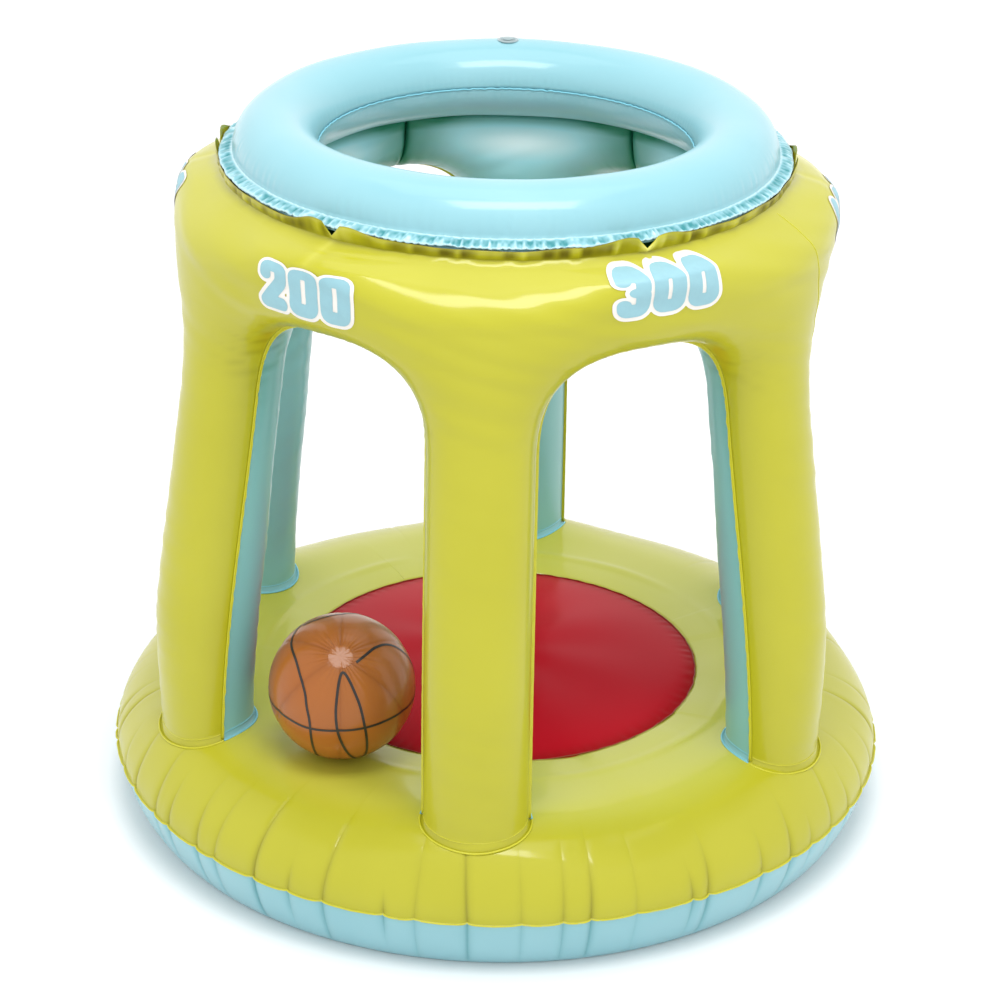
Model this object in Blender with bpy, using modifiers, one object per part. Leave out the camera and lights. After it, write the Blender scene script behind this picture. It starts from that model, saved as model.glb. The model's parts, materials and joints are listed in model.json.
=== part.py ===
"""Inflatable basketball hoop: a round pillow base, a six-legged tower and a round hoop on top, all welded
from thin vinyl film, each with its own push-in air valve, and a small inflatable ball inside.

Metres, +Z up. The origin is on the ground under the middle of the base. An azimuth of 0 faces -Y, where
leg 1 stands, and grows towards +X.
"""

import math

import bpy
import numpy as np
from mathutils import Matrix, Vector

# Film and welds
FILM = 0.0003
WELD_GAP = 0.0003
LAYER = FILM + WELD_GAP

# Base: a low pillow, welded round its widest line, with a red floor disc let into its top
BASE_RADIUS = 0.4572
BASE_MARGIN = 0.0030
BASE_WELD_HEIGHT = 0.0700
BASE_SHOULDER_WIDTH = 0.1252
BASE_CREST_HEIGHT = 0.1475
BASE_SHOULDER_ROUND = 2.10
BASE_SIDE_BULGE = 0.0262
BASE_SIDE_ROUND = 1.45
FLOOR_COLLAR_WIDTH = 0.0910
FLOOR_SEAM_DIP = 0.0050
FLOOR_DOME = 0.0150
FLOOR_LAP = 0.0050
TIE_AIR_GAP_DEGREES = 12.0

# Tower: six legs that run up into one crown, an outer and an inner sheet welded round every arch
LEG_COUNT = 6
LEG_HALF_WIDTH = 0.0578
LEG_FOOT_INSET = 0.0775
LEG_SHIN_LEAN = 0.0178
LEG_SHIN_HEIGHT = 0.3430
LEG_WAIST_LEAN = 0.0475
LEG_WAIST_HEIGHT = 0.5486
CROWN_LEAN = 0.0635
CROWN_HEIGHT = 0.7315
ARCH_SPRING_HEIGHT = 0.5578
ARCH_TOP_HEIGHT = 0.6720
ARCH_ROUND = 2.65
CROWN_SWELL = 0.10
FOOT_SWELL = 0.82
FOOT_SWELL_RISE = 0.1500
FOOT_MARGIN = 0.0040
TOP_MARGIN = 0.0110
TOP_FOLD = 0.0012

# Hoop: an oval-section ring with a flat weld flange that lies on the tower's top margins
HOOP_INSET = 0.0581
HOOP_HALF_WIDTH = 0.0465
HOOP_HALF_HEIGHT = 0.0443
HOOP_CENTRE_HEIGHT = 0.7907
HOOP_FLANGE_WIDTH = 0.0152
HOOP_PRESS_CLEARANCE = 0.0015
HOOP_MEETING = 1.14

# Air valves: a seat welded into the sheet, a stem that pushes in flush, and a plug in the stem
VALVE_FLANGE_RADIUS = 0.0125
VALVE_FLANGE_THICKNESS = 0.0008
VALVE_BORE_RADIUS = 0.0080
VALVE_WALL = 0.0010
VALVE_DEPTH = 0.0120
VALVE_RUNNING_CLEARANCE = 0.0003
STEM_WALL = 0.0040
PLUG_CAP_RADIUS = 0.0062
PLUG_CAP_THICKNESS = 0.0018
PLUG_CAP_CHAMFER = 0.0006
PLUG_SHANK_LENGTH = 0.0080
HOOP_VALVE_AZIMUTH = 184.0
TOWER_VALVE_LEG = 4
TOWER_VALVE_HEIGHT = 0.3000
BASE_VALVE_AZIMUTH = 180.0

# Ball: six gores between two poles, lying on the base in the front left arch
BALL_RADIUS = 0.0821
BALL_GORES = 6
BALL_FLOOR_OFFSET = 0.0441
BALL_AZIMUTH = -33.9
BALL_POLE_AZIMUTH = 6.0
BALL_POLE_ELEVATION = 52.0
BALL_CAP_RADIUS = 0.0140
BALL_CAP_STEPS = 3
BALL_REST_REACH = 0.0410
BALL_REST_STEPS = 20
BALL_FACET_SAG = 0.0010

# Facets
TURN_STEPS = 36
COLLAR_SHARES = (0.0, 0.3, 0.65)
UNDERSIDE_SHARES = (0.5, 0.0)
HOOP_ARC_STEPS = 4
SHOULDER_STEPS = 5
DOME_STEPS = 4
PANEL_COLUMNS = 8
LEG_ROWS = 2
ARCH_ROWS = 4
CROWN_ROWS = 2
GORE_COLUMNS = 4
GORE_ROWS = 8
VALVE_STEPS = 12

HALF_BAY = math.pi / LEG_COUNT
FLOOR_SEAM_HEIGHT = BASE_CREST_HEIGHT - FLOOR_SEAM_DIP
BASE_EDGE_RADIUS = BASE_RADIUS - BASE_MARGIN
BASE_REST_RADIUS = BASE_EDGE_RADIUS - BASE_SIDE_BULGE
BASE_CREST_RADIUS = BASE_EDGE_RADIUS - BASE_SHOULDER_WIDTH
FLOOR_RADIUS = BASE_CREST_RADIUS - FLOOR_COLLAR_WIDTH
LEG_FOOT_RADIUS = BASE_EDGE_RADIUS - LEG_FOOT_INSET
LEG_SHIN_RADIUS = LEG_FOOT_RADIUS - LEG_SHIN_LEAN
LEG_WAIST_RADIUS = LEG_FOOT_RADIUS - LEG_WAIST_LEAN
CROWN_RADIUS = LEG_FOOT_RADIUS - CROWN_LEAN
HOOP_RADIUS = CROWN_RADIUS - HOOP_INSET
BALL_DISTANCE = FLOOR_RADIUS + BALL_FLOOR_OFFSET
TOWER_TOP_HEIGHT = HOOP_CENTRE_HEIGHT - 3 * LAYER - TOP_FOLD
FOOT_CLEARANCE = FILM + WELD_GAP
VALVE_HOLE_RADIUS = VALVE_BORE_RADIUS + VALVE_WALL + WELD_GAP

YELLOW = (0.66, 0.62, 0.035)
LIGHT_BLUE = (0.25, 0.60, 0.68)
RED = (0.52, 0.012, 0.025)
BROWN = (0.36, 0.14, 0.055)
CLEAR = (0.75, 0.80, 0.80)


def clear_scene():
    for obj in list(bpy.data.objects):
        bpy.data.objects.remove(obj, do_unlink=True)


def make_collection(name):
    collection = bpy.data.collections.new(name)
    bpy.context.scene.collection.children.link(collection)
    return collection


def make_material(name, colour, roughness):
    material = bpy.data.materials.new(name)
    material.use_nodes = True
    shader = material.node_tree.nodes["Principled BSDF"]
    shader.inputs["Base Color"].default_value = (*colour, 1.0)
    shader.inputs["Roughness"].default_value = roughness
    shader.inputs["Metallic"].default_value = 0.0
    material.diffuse_color = (*colour, 1.0)
    return material


def add_object(name, mesh, collection, material=None):
    obj = bpy.data.objects.new(name, mesh)
    collection.objects.link(obj)
    if material and not mesh.materials:
        mesh.materials.append(material)
    return obj


def mesh_from(name, points, faces):
    mesh = bpy.data.meshes.new(name)
    mesh.from_pydata([tuple(point) for point in points], [], faces)
    mesh.update()
    mesh.shade_smooth()
    return mesh


def polar(radius, azimuth, height=0.0):
    """The point at a radius, an azimuth in radians and a height."""
    return Vector((radius * math.sin(azimuth), -radius * math.cos(azimuth), height))


def through(stations, height):
    """A smooth curve of radius over height through the (height, radius) stations."""
    total = 0.0
    for i, (here, radius) in enumerate(stations):
        for j, (other, _) in enumerate(stations):
            if j != i:
                radius = radius * (height - other) / (here - other)
        total += radius
    return total


def base_top(radius):
    """Height of the base's upper surface at a radius."""
    if radius >= BASE_CREST_RADIUS:
        out = min(1.0, (radius - BASE_CREST_RADIUS) / (BASE_EDGE_RADIUS - BASE_CREST_RADIUS))
        fall = (1.0 - out**BASE_SHOULDER_ROUND) ** (1.0 / BASE_SHOULDER_ROUND)
        return BASE_WELD_HEIGHT + (BASE_CREST_HEIGHT - BASE_WELD_HEIGHT) * fall
    if radius >= FLOOR_RADIUS:
        left = (BASE_CREST_RADIUS - radius) / (BASE_CREST_RADIUS - FLOOR_RADIUS)
        return BASE_CREST_HEIGHT - FLOOR_SEAM_DIP * left**3
    return FLOOR_SEAM_HEIGHT - LAYER + FLOOR_DOME * (1.0 - (radius / FLOOR_RADIUS) ** 2)


def offset_path(path, distance):
    """The path of (radius, height) points moved sideways, to its right for a positive distance."""
    points = np.array(path)
    steps = np.diff(points, axis=0)
    sides = np.stack([steps[:, 1], -steps[:, 0]], axis=1) / np.linalg.norm(steps, axis=1)[:, None]
    before = np.vstack([sides[:1], sides])
    after = np.vstack([sides, sides[-1:]])
    both = before + after
    both *= 2.0 / (both**2).sum(axis=1)[:, None]
    return points + both * distance


def turned_sheet(name, path, collection, material, steps=TURN_STEPS):
    """A film of revolution. The path is its outer face, top to bottom, and the film lies inside it."""
    outer = np.array(path)
    inner = offset_path(path, FILM)
    if outer[0][0] < FILM:
        inner[0][0] = 0.0
    if outer[-1][0] < FILM:
        inner[-1][0] = 0.0
    return turned_solid(name, [*outer, *inner[::-1]], collection, material, steps)


def turned_solid(name, outline, collection, material, steps=TURN_STEPS):
    """A solid of revolution from a closed outline of (radius, height) points, down its outer side."""
    pairs = [(i, (i + 1) % len(outline)) for i in range(len(outline))]
    pairs = [(i, j) for i, j in pairs if max(outline[i][0], outline[j][0]) > FILM / 2]
    return turned(name, outline, pairs, collection, material, steps)


def turned(name, outline, pairs, collection, material, steps, sweep_degrees=360.0):
    """The object that a Screw makes from an outline's points and the pairs of them that edges join."""
    mesh = bpy.data.meshes.new(name)
    mesh.from_pydata([(radius, 0.0, height) for radius, height in outline], pairs, [])
    obj = add_object(name, mesh, collection, material)
    screw = obj.modifiers.new("Turn", "SCREW")
    screw.angle = math.radians(sweep_degrees)
    screw.steps = steps
    screw.render_steps = steps
    screw.use_merge_vertices = True
    screw.merge_threshold = 0.00001
    screw.use_smooth_shade = True
    return obj


def cut_hole(obj, place, radius, cutters):
    """Cuts the round hole that a valve's wall passes through, square to the sheet."""
    name = f"{obj.name}_hole"
    bpy.ops.mesh.primitive_cylinder_add(vertices=VALVE_STEPS, radius=radius, depth=4 * VALVE_DEPTH)
    cutter = bpy.context.object
    cutter.name = name
    cutter.matrix_world = place
    for collection in list(cutter.users_collection):
        collection.objects.unlink(cutter)
    cutters.objects.link(cutter)
    cutter.hide_render = True
    cutter.display_type = "WIRE"
    boolean = obj.modifiers.new("Valve hole", "BOOLEAN")
    boolean.operation = "DIFFERENCE"
    boolean.solver = "EXACT"
    boolean.object = cutter


def base_shoulder():
    """The base's upper outer face, from its crest out and down to the weld line."""
    path = []
    for step in range(SHOULDER_STEPS + 1):
        angle = 0.5 * math.pi * step / SHOULDER_STEPS
        out = math.sin(angle) ** (2.0 / BASE_SHOULDER_ROUND)
        radius = BASE_CREST_RADIUS + (BASE_EDGE_RADIUS - BASE_CREST_RADIUS) * out
        path.append((radius, base_top(radius)))
    return path


def base_side():
    """The base's lower outer face, from the weld line in and down to the ring that it rests on."""
    path = []
    for step in range(SHOULDER_STEPS - 1):
        angle = 0.5 * math.pi * step / (SHOULDER_STEPS - 2)
        radius = BASE_REST_RADIUS + (BASE_EDGE_RADIUS - BASE_REST_RADIUS) * math.cos(angle) ** (
            2.0 / BASE_SIDE_ROUND
        )
        height = (BASE_WELD_HEIGHT - LAYER) * (1.0 - math.sin(angle) ** (2.0 / BASE_SIDE_ROUND))
        path.append((radius, height))
    return path


def build_base(parts, cutters, yellow, blue, red):
    inner_slope = []
    for share in COLLAR_SHARES:
        radius = FLOOR_RADIUS + (BASE_CREST_RADIUS - FLOOR_RADIUS) * share
        inner_slope.append((radius, base_top(radius)))
    margin_top = [(BASE_RADIUS, BASE_WELD_HEIGHT)]
    turned_sheet("base_top_sheet", inner_slope + base_shoulder() + margin_top, parts, yellow)

    margin_bottom = [(BASE_RADIUS, BASE_WELD_HEIGHT - LAYER)]
    underside = [(BASE_REST_RADIUS * share, 0.0) for share in UNDERSIDE_SHARES]
    bottom = turned_sheet("base_bottom_sheet", margin_bottom + base_side() + underside, parts, blue)

    seat = FLOOR_SEAM_HEIGHT - LAYER
    dome = []
    for step in range(DOME_STEPS):
        radius = FLOOR_RADIUS * math.sin(0.5 * math.pi * step / DOME_STEPS)
        dome.append((radius, base_top(radius)))
    lap = [(FLOOR_RADIUS, seat), (FLOOR_RADIUS + FLOOR_LAP, seat)]
    turned_sheet("floor_disc", dome + lap, parts, red)

    tie = [(FLOOR_RADIUS, seat - LAYER), (FLOOR_RADIUS, LAYER)]
    sweep = 360.0 - TIE_AIR_GAP_DEGREES
    band = turned("floor_tie_band", tie, [(0, 1)], parts, blue, TURN_STEPS, sweep)
    band.rotation_euler.z = math.radians(90.0 + TIE_AIR_GAP_DEGREES / 2)
    thicken(band)

    side = base_side()
    middle = len(side) // 2 - 1
    high, low = Vector(side[middle]), Vector(side[middle + 1])
    centre = (high + low) / 2
    normal = Vector((high.y - low.y, low.x - high.x)).normalized()
    azimuth = math.radians(BASE_VALVE_AZIMUTH)
    place = valve_place(polar(centre.x, azimuth, centre.y), polar(normal.x, azimuth, normal.y))
    cut_hole(bottom, place, VALVE_HOLE_RADIUS, cutters)
    return place


def leg_ring_radius(height):
    """Radius of the surface that the tower's two sheets are welded along."""
    stations = (
        (BASE_CREST_HEIGHT, LEG_FOOT_RADIUS),
        (LEG_SHIN_HEIGHT, LEG_SHIN_RADIUS),
        (LEG_WAIST_HEIGHT, LEG_WAIST_RADIUS),
        (CROWN_HEIGHT, CROWN_RADIUS),
    )
    return through(stations, height)


def arch_half_width(height):
    """Half the width of the opening between two legs, measured round the ring."""
    full = HALF_BAY * leg_ring_radius(height) - LEG_HALF_WIDTH
    if height <= ARCH_SPRING_HEIGHT:
        return full
    rise = min(1.0, (height - ARCH_SPRING_HEIGHT) / (ARCH_TOP_HEIGHT - ARCH_SPRING_HEIGHT))
    return full * (1.0 - rise**ARCH_ROUND) ** (1.0 / ARCH_ROUND)


def distance_from_arch(across, height):
    """How far a point lies from the edge of the arch whose middle is that far across."""
    full = HALF_BAY * leg_ring_radius(height) - LEG_HALF_WIDTH
    if height <= ARCH_SPRING_HEIGHT:
        return across - full
    rise = (height - ARCH_SPRING_HEIGHT) / (ARCH_TOP_HEIGHT - ARCH_SPRING_HEIGHT)
    reach = (abs(across / full) ** ARCH_ROUND + rise**ARCH_ROUND) ** (1.0 / ARCH_ROUND)
    return (reach - 1.0) * full


def swell(across, height):
    """How far the film stands off the weld surface, as on an inflated tube: a half circle over a leg."""
    half_bay = HALF_BAY * leg_ring_radius(height)
    left = distance_from_arch(half_bay + across, height)
    right = distance_from_arch(half_bay - across, height)
    top = TOWER_TOP_HEIGHT - height
    if min(left, right, top) < 1e-7:
        return 0.0
    room = 1.0 / (1.0 / left + 1.0 / right + 1.0 / top)
    rise = (height - ARCH_SPRING_HEIGHT) / (ARCH_TOP_HEIGHT - ARCH_SPRING_HEIGHT)
    rise = min(1.0, max(0.0, rise))
    fullness = 1.0 + CROWN_SWELL * rise * rise * (3.0 - 2.0 * rise)
    return fullness * math.sqrt(2.0 * LEG_HALF_WIDTH * room)


def hoop_outer_radius(height):
    """Radius of the hoop's outer side at a height below its weld."""
    drop = (HOOP_CENTRE_HEIGHT - height) / HOOP_HALF_HEIGHT
    if drop >= 1.0:
        return 0.0
    return HOOP_RADIUS + HOOP_HALF_WIDTH * math.sqrt(1.0 - max(0.0, drop) ** 2)


def foot_share(side, height):
    """The share of its full swell that a sheet has over the foot weld, which holds the outer one flatter."""
    if side < 0:
        return 1.0
    rise = min(1.0, max(0.0, (height - BASE_CREST_HEIGHT) / FOOT_SWELL_RISE))
    return FOOT_SWELL + (1.0 - FOOT_SWELL) * rise


def film_radius(side, across, height):
    """Radius of the outer (side 1) or inner (side -1) sheet, which the hoop presses outward."""
    stand = swell(across, height) * foot_share(side, height)
    radius = leg_ring_radius(height) + side * (WELD_GAP / 2 + FILM + stand)
    if side < 0:
        radius = max(radius, hoop_outer_radius(height) + HOOP_PRESS_CLEARANCE)
    return radius


def row_heights():
    """Heights of a leg sheet's rows: up the arch, on to the hoop, and up the hoop's side to the top seam."""
    rows = []
    for step in range(ARCH_ROWS):
        turn = 0.5 * math.pi * step / ARCH_ROWS
        rise = math.sin(turn) ** (2.0 / ARCH_ROUND)
        rows.append(ARCH_SPRING_HEIGHT + (ARCH_TOP_HEIGHT - ARCH_SPRING_HEIGHT) * rise)
    under_hoop = HOOP_CENTRE_HEIGHT - HOOP_HALF_HEIGHT * HOOP_MEETING
    for step in range(CROWN_ROWS + 1):
        turn = 0.5 * math.pi * step / CROWN_ROWS
        rows.append(ARCH_TOP_HEIGHT + (under_hoop - ARCH_TOP_HEIGHT) * (1.0 - math.cos(turn)))
    for step in range(HOOP_ARC_STEPS - 1, 0, -1):
        turn = 0.5 * math.pi * step / HOOP_ARC_STEPS
        rows.append(HOOP_CENTRE_HEIGHT - HOOP_HALF_HEIGHT * math.sin(turn))
    rows.append(TOWER_TOP_HEIGHT)
    return rows


def sheet_point(side, turn, height):
    """Radius and angle from the leg's middle line of a point of a leg sheet in one of its columns."""
    ring = leg_ring_radius(height)
    half = HALF_BAY * ring - arch_half_width(height)
    if height >= ARCH_TOP_HEIGHT:
        half = HALF_BAY * ring
    even = (height - ARCH_TOP_HEIGHT) / (TOWER_TOP_HEIGHT - ARCH_TOP_HEIGHT)
    even = min(1.0, max(0.0, even))
    across = half * ((1.0 - even) * math.sin(turn) + even * turn / (0.5 * math.pi))
    radius = film_radius(side, across, height)
    angle = across / ring
    widest = HALF_BAY - WELD_GAP / 2 / radius
    return radius, max(-widest, min(widest, angle))


def foot_of(side, turn):
    """The radius, angle and height at which a column of a leg sheet meets the base."""
    height = BASE_CREST_HEIGHT
    for _ in range(8):
        radius, angle = sheet_point(side, turn, height)
        height = base_top(radius) + FOOT_CLEARANCE + WELD_GAP
    return radius, angle, height


def leg_sheet_mesh(side, name):
    """One leg's sheet, with its foot margin, its leg, its half arches and its share of the crown."""
    columns = [0.5 * math.pi * (2.0 * i / PANEL_COLUMNS - 1.0) for i in range(PANEL_COLUMNS + 1)]
    grid = []
    margin, shins = [], [[] for _ in range(LEG_ROWS)]
    for turn in columns:
        radius, angle, height = foot_of(side, turn)
        foot = polar(radius, angle)
        outward = (foot - polar(leg_ring_radius(height), 0.0)).normalized()
        toe = foot + outward * FOOT_MARGIN
        margin.append(Vector((toe.x, toe.y, base_top(toe.length) + FOOT_CLEARANCE)))
        for row in range(LEG_ROWS):
            level = height + (ARCH_SPRING_HEIGHT - height) * row / LEG_ROWS
            radius, angle = sheet_point(side, turn, level)
            shins[row].append(polar(radius, angle, level))
    grid.append(margin)
    grid.extend(shins)
    for level in row_heights():
        grid.append([polar(*sheet_point(side, turn, level), level) for turn in columns])

    rise = TOP_FOLD if side > 0 else TOP_FOLD + LAYER + FILM
    fold = [Vector((point.x, point.y, point.z + rise)) for point in grid[-1]]
    grid.append(fold)
    edge = []
    for point in fold:
        flat = Vector((point.x, point.y))
        flat = flat * (1.0 + TOP_MARGIN / flat.length)
        edge.append(Vector((flat.x, flat.y, point.z)))
    grid.append(edge)

    width = len(columns)
    points = [point for row in grid for point in row]
    faces = []
    for row in range(len(grid) - 1):
        for column in range(width - 1):
            first = row * width + column
            loop = (first, first + 1, first + 1 + width, first + width)
            faces.append(loop if side > 0 else loop[::-1])
    return mesh_from(name, points, faces)


def thicken(obj, thickness=FILM):
    """Gives a sheet its film thickness, inward from its outer face."""
    solidify = obj.modifiers.new("Film", "SOLIDIFY")
    solidify.thickness = thickness
    solidify.offset = -1.0
    solidify.use_rim = True


def build_tower(parts, cutters, yellow, blue):
    sheets = {}
    for side, word, material in ((1, "outer", yellow), (-1, "inner", blue)):
        mesh = leg_sheet_mesh(side, f"{word}_leg_sheet")
        for leg in range(LEG_COUNT):
            obj = add_object(f"{word}_leg_sheet_{leg + 1}", mesh, parts, material)
            obj.rotation_euler.z = 2 * HALF_BAY * leg
            thicken(obj)
            sheets[word, leg + 1] = obj
    azimuth = 2 * HALF_BAY * (TOWER_VALVE_LEG - 1)
    radius = film_radius(1, 0.0, TOWER_VALVE_HEIGHT)
    lean = film_radius(1, 0.0, TOWER_VALVE_HEIGHT + VALVE_DEPTH) - radius
    normal = Vector((VALVE_DEPTH, -lean)).normalized()
    place = valve_place(polar(radius, azimuth, TOWER_VALVE_HEIGHT), polar(normal.x, azimuth, normal.y))
    cut_hole(sheets["outer", TOWER_VALVE_LEG], place, VALVE_HOLE_RADIUS, cutters)
    return place


def hoop_arc(sign):
    """The hoop's section from its inner weld to its outer weld, over the top (1) or under (-1)."""
    path = []
    for step in range(2 * HOOP_ARC_STEPS + 1):
        turn = math.pi * (1.0 - step / (2 * HOOP_ARC_STEPS))
        height = HOOP_CENTRE_HEIGHT + sign * HOOP_HALF_HEIGHT * math.sin(turn)
        path.append((HOOP_RADIUS + HOOP_HALF_WIDTH * math.cos(turn), height))
    return path


def build_hoop(parts, cutters, blue):
    flange_radius = HOOP_RADIUS + HOOP_HALF_WIDTH + HOOP_FLANGE_WIDTH
    upper_path = [(r, z + LAYER) for r, z in hoop_arc(1)] + [(flange_radius, HOOP_CENTRE_HEIGHT + LAYER)]
    upper = turned_sheet("hoop_upper_sheet", upper_path, parts, blue)
    lower_path = [(flange_radius, HOOP_CENTRE_HEIGHT - WELD_GAP)] + [
        (r, z - WELD_GAP) for r, z in hoop_arc(-1)[::-1]
    ]
    turned_sheet("hoop_lower_sheet", lower_path, parts, blue)
    top = HOOP_CENTRE_HEIGHT + HOOP_HALF_HEIGHT + LAYER
    place = valve_place(polar(HOOP_RADIUS, math.radians(HOOP_VALVE_AZIMUTH), top), Vector((0, 0, 1)))
    cut_hole(upper, place, VALVE_HOLE_RADIUS, cutters)
    return place


def valve_place(point, normal):
    """The matrix that stands a valve on a point of a sheet, its axis along the sheet's normal."""
    turn = normal.normalized().to_track_quat("Z", "Y").to_matrix().to_4x4()
    return Matrix.Translation(point + normal.normalized() * FILM) @ turn


def build_valve(name, place, parts, clear):
    """A valve's seat, stem and plug. At rest the stem is pushed in flush and the plug is home."""
    top = VALVE_FLANGE_THICKNESS
    seat = [
        (VALVE_FLANGE_RADIUS, top),
        (VALVE_FLANGE_RADIUS, 0.0),
        (VALVE_BORE_RADIUS + VALVE_WALL, 0.0),
        (VALVE_BORE_RADIUS + VALVE_WALL, -VALVE_DEPTH),
        (VALVE_BORE_RADIUS, -VALVE_DEPTH),
        (VALVE_BORE_RADIUS, top),
    ]
    stem_radius = VALVE_BORE_RADIUS - VALVE_RUNNING_CLEARANCE
    bore = stem_radius - STEM_WALL
    stem = [(stem_radius, top), (stem_radius, -VALVE_DEPTH), (bore, -VALVE_DEPTH), (bore, top)]
    shank = bore - VALVE_RUNNING_CLEARANCE
    cap_low = top + WELD_GAP
    plug = [
        (0.0, cap_low + PLUG_CAP_THICKNESS),
        (PLUG_CAP_RADIUS - PLUG_CAP_CHAMFER, cap_low + PLUG_CAP_THICKNESS),
        (PLUG_CAP_RADIUS, cap_low + PLUG_CAP_THICKNESS - PLUG_CAP_CHAMFER),
        (PLUG_CAP_RADIUS, cap_low),
        (shank, cap_low),
        (shank, cap_low - PLUG_SHANK_LENGTH),
        (0.0, cap_low - PLUG_SHANK_LENGTH),
    ]
    for word, outline in (("seat", seat), ("stem", stem), ("plug", plug)):
        piece = turned_solid(f"{name}_valve_{word}", outline, parts, clear, steps=VALVE_STEPS)
        piece.matrix_world = place


def ball_centre():
    """Where the ball lies: a weld gap above the base, over the whole stretch that it could touch.

    Its flat facets lie inside its round form, so it comes down by that much more.
    """
    height = 0.0
    for step in range(-BALL_REST_STEPS, BALL_REST_STEPS + 1):
        reach = BALL_REST_REACH * step / BALL_REST_STEPS
        lift = math.sqrt((BALL_RADIUS - BALL_FACET_SAG + WELD_GAP) ** 2 - reach**2)
        height = max(height, base_top(BALL_DISTANCE + reach) + lift)
    return polar(BALL_DISTANCE, math.radians(BALL_AZIMUTH), height)


def build_ball(parts, brown):
    azimuth, tilt = math.radians(BALL_POLE_AZIMUTH), math.radians(BALL_POLE_ELEVATION)
    pole = polar(math.cos(tilt), azimuth, math.sin(tilt))
    centre = ball_centre()
    place = Matrix.Translation(centre) @ pole.to_track_quat("Z", "Y").to_matrix().to_4x4()
    edge = math.asin(VALVE_HOLE_RADIUS / BALL_RADIUS)
    points, faces = [], []
    for row in range(GORE_ROWS + 1):
        slope = edge + (math.pi - 2 * edge) * row / GORE_ROWS
        half = math.pi / BALL_GORES - WELD_GAP / 2 / (BALL_RADIUS * math.sin(slope))
        for column in range(GORE_COLUMNS + 1):
            turn = half * (2.0 * column / GORE_COLUMNS - 1.0)
            reach = BALL_RADIUS * math.sin(slope)
            points.append((reach * math.sin(turn), -reach * math.cos(turn), BALL_RADIUS * math.cos(slope)))
    width = GORE_COLUMNS + 1
    for row in range(GORE_ROWS):
        for column in range(GORE_COLUMNS):
            first = row * width + column
            faces.append((first, first + width, first + 1 + width, first + 1))
    mesh = mesh_from("ball_gore", points, faces)
    for gore in range(BALL_GORES):
        obj = add_object(f"ball_gore_{gore + 1}", mesh, parts, brown)
        obj.matrix_world = place @ Matrix.Rotation(2 * math.pi * gore / BALL_GORES, 4, "Z")
        thicken(obj)
    shell = BALL_RADIUS + LAYER
    cap_edge = math.asin(BALL_CAP_RADIUS / shell)
    cap_turns = [cap_edge * step / BALL_CAP_STEPS for step in range(BALL_CAP_STEPS + 1)]
    cap_path = [(shell * math.sin(turn), shell * math.cos(turn)) for turn in cap_turns]
    cap = turned_sheet("ball_pole_cap", cap_path, parts, brown, VALVE_STEPS)
    cap.matrix_world = place
    return valve_place(centre - pole * BALL_RADIUS, -pole)


def main():
    clear_scene()
    parts = make_collection("inflatable_basketball_hoop")
    cutters = make_collection("cutters")
    yellow = make_material("yellow_vinyl", YELLOW, 0.28)
    blue = make_material("light_blue_vinyl", LIGHT_BLUE, 0.28)
    red = make_material("red_vinyl", RED, 0.18)
    brown = make_material("brown_vinyl", BROWN, 0.22)
    clear = make_material("soft_clear_vinyl", CLEAR, 0.35)
    places = {
        "base": build_base(parts, cutters, yellow, blue, red),
        "tower": build_tower(parts, cutters, yellow, blue),
        "hoop": build_hoop(parts, cutters, blue),
        "ball": build_ball(parts, brown),
    }
    for name, place in places.items():
        build_valve(name, place, parts, clear)
    bpy.context.view_layer.update()


main()
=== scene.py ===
"""Looks of an inflatable basketball hoop of vinyl film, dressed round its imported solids.

Metres, +Z up. The origin is on the ground under the middle of the base. An azimuth of 0 faces -Y, where
leg 1 stands, and grows towards +X. Every skin takes its form from its own sizes, in the place that its
solid holds.
"""

import json
import logging
import math
from dataclasses import dataclass, field
from enum import Enum
from typing import ClassVar

import bmesh
import bpy
import numpy as np
from mathutils import Matrix, Vector


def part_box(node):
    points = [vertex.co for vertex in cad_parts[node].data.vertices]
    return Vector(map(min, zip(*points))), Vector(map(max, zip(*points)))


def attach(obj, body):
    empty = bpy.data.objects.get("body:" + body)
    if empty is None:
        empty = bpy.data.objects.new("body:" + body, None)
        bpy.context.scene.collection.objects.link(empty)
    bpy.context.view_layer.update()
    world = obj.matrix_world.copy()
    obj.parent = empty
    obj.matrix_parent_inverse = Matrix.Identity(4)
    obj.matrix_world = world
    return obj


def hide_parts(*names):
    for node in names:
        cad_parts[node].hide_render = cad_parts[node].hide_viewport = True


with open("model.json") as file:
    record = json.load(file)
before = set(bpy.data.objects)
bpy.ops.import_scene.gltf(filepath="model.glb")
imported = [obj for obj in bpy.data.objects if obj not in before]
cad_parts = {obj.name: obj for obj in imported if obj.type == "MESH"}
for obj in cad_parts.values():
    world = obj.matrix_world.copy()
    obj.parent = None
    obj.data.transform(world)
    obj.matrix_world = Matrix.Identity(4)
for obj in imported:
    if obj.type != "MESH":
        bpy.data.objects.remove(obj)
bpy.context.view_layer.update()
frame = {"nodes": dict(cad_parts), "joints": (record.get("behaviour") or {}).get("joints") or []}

LOG = logging.getLogger("inflatable_hoop")
Array, Mesh, Material = np.ndarray, bpy.types.Mesh, bpy.types.Material
TAU = 2.0 * math.pi
# The film's thickness in metres, facets round a weld bead, the tower's legs, waves in a noise, and white
FILM = 0.0003
BEAD_SIDES = 8
LEGS = 6
WAVES = 28
WHITE = (1.0, 1.0, 1.0, 1.0)


class Slot(Enum):
    """The record's material slots."""

    YELLOW = "yellow_vinyl"
    BLUE = "light_blue_vinyl"
    RED = "red_vinyl"
    BROWN = "brown_vinyl"
    CLEAR = "soft_clear_vinyl"


class Side(Enum):
    """The tower's two sheets: the outer one faces out, the inner one faces the middle."""

    OUTER = 1
    INNER = -1


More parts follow.
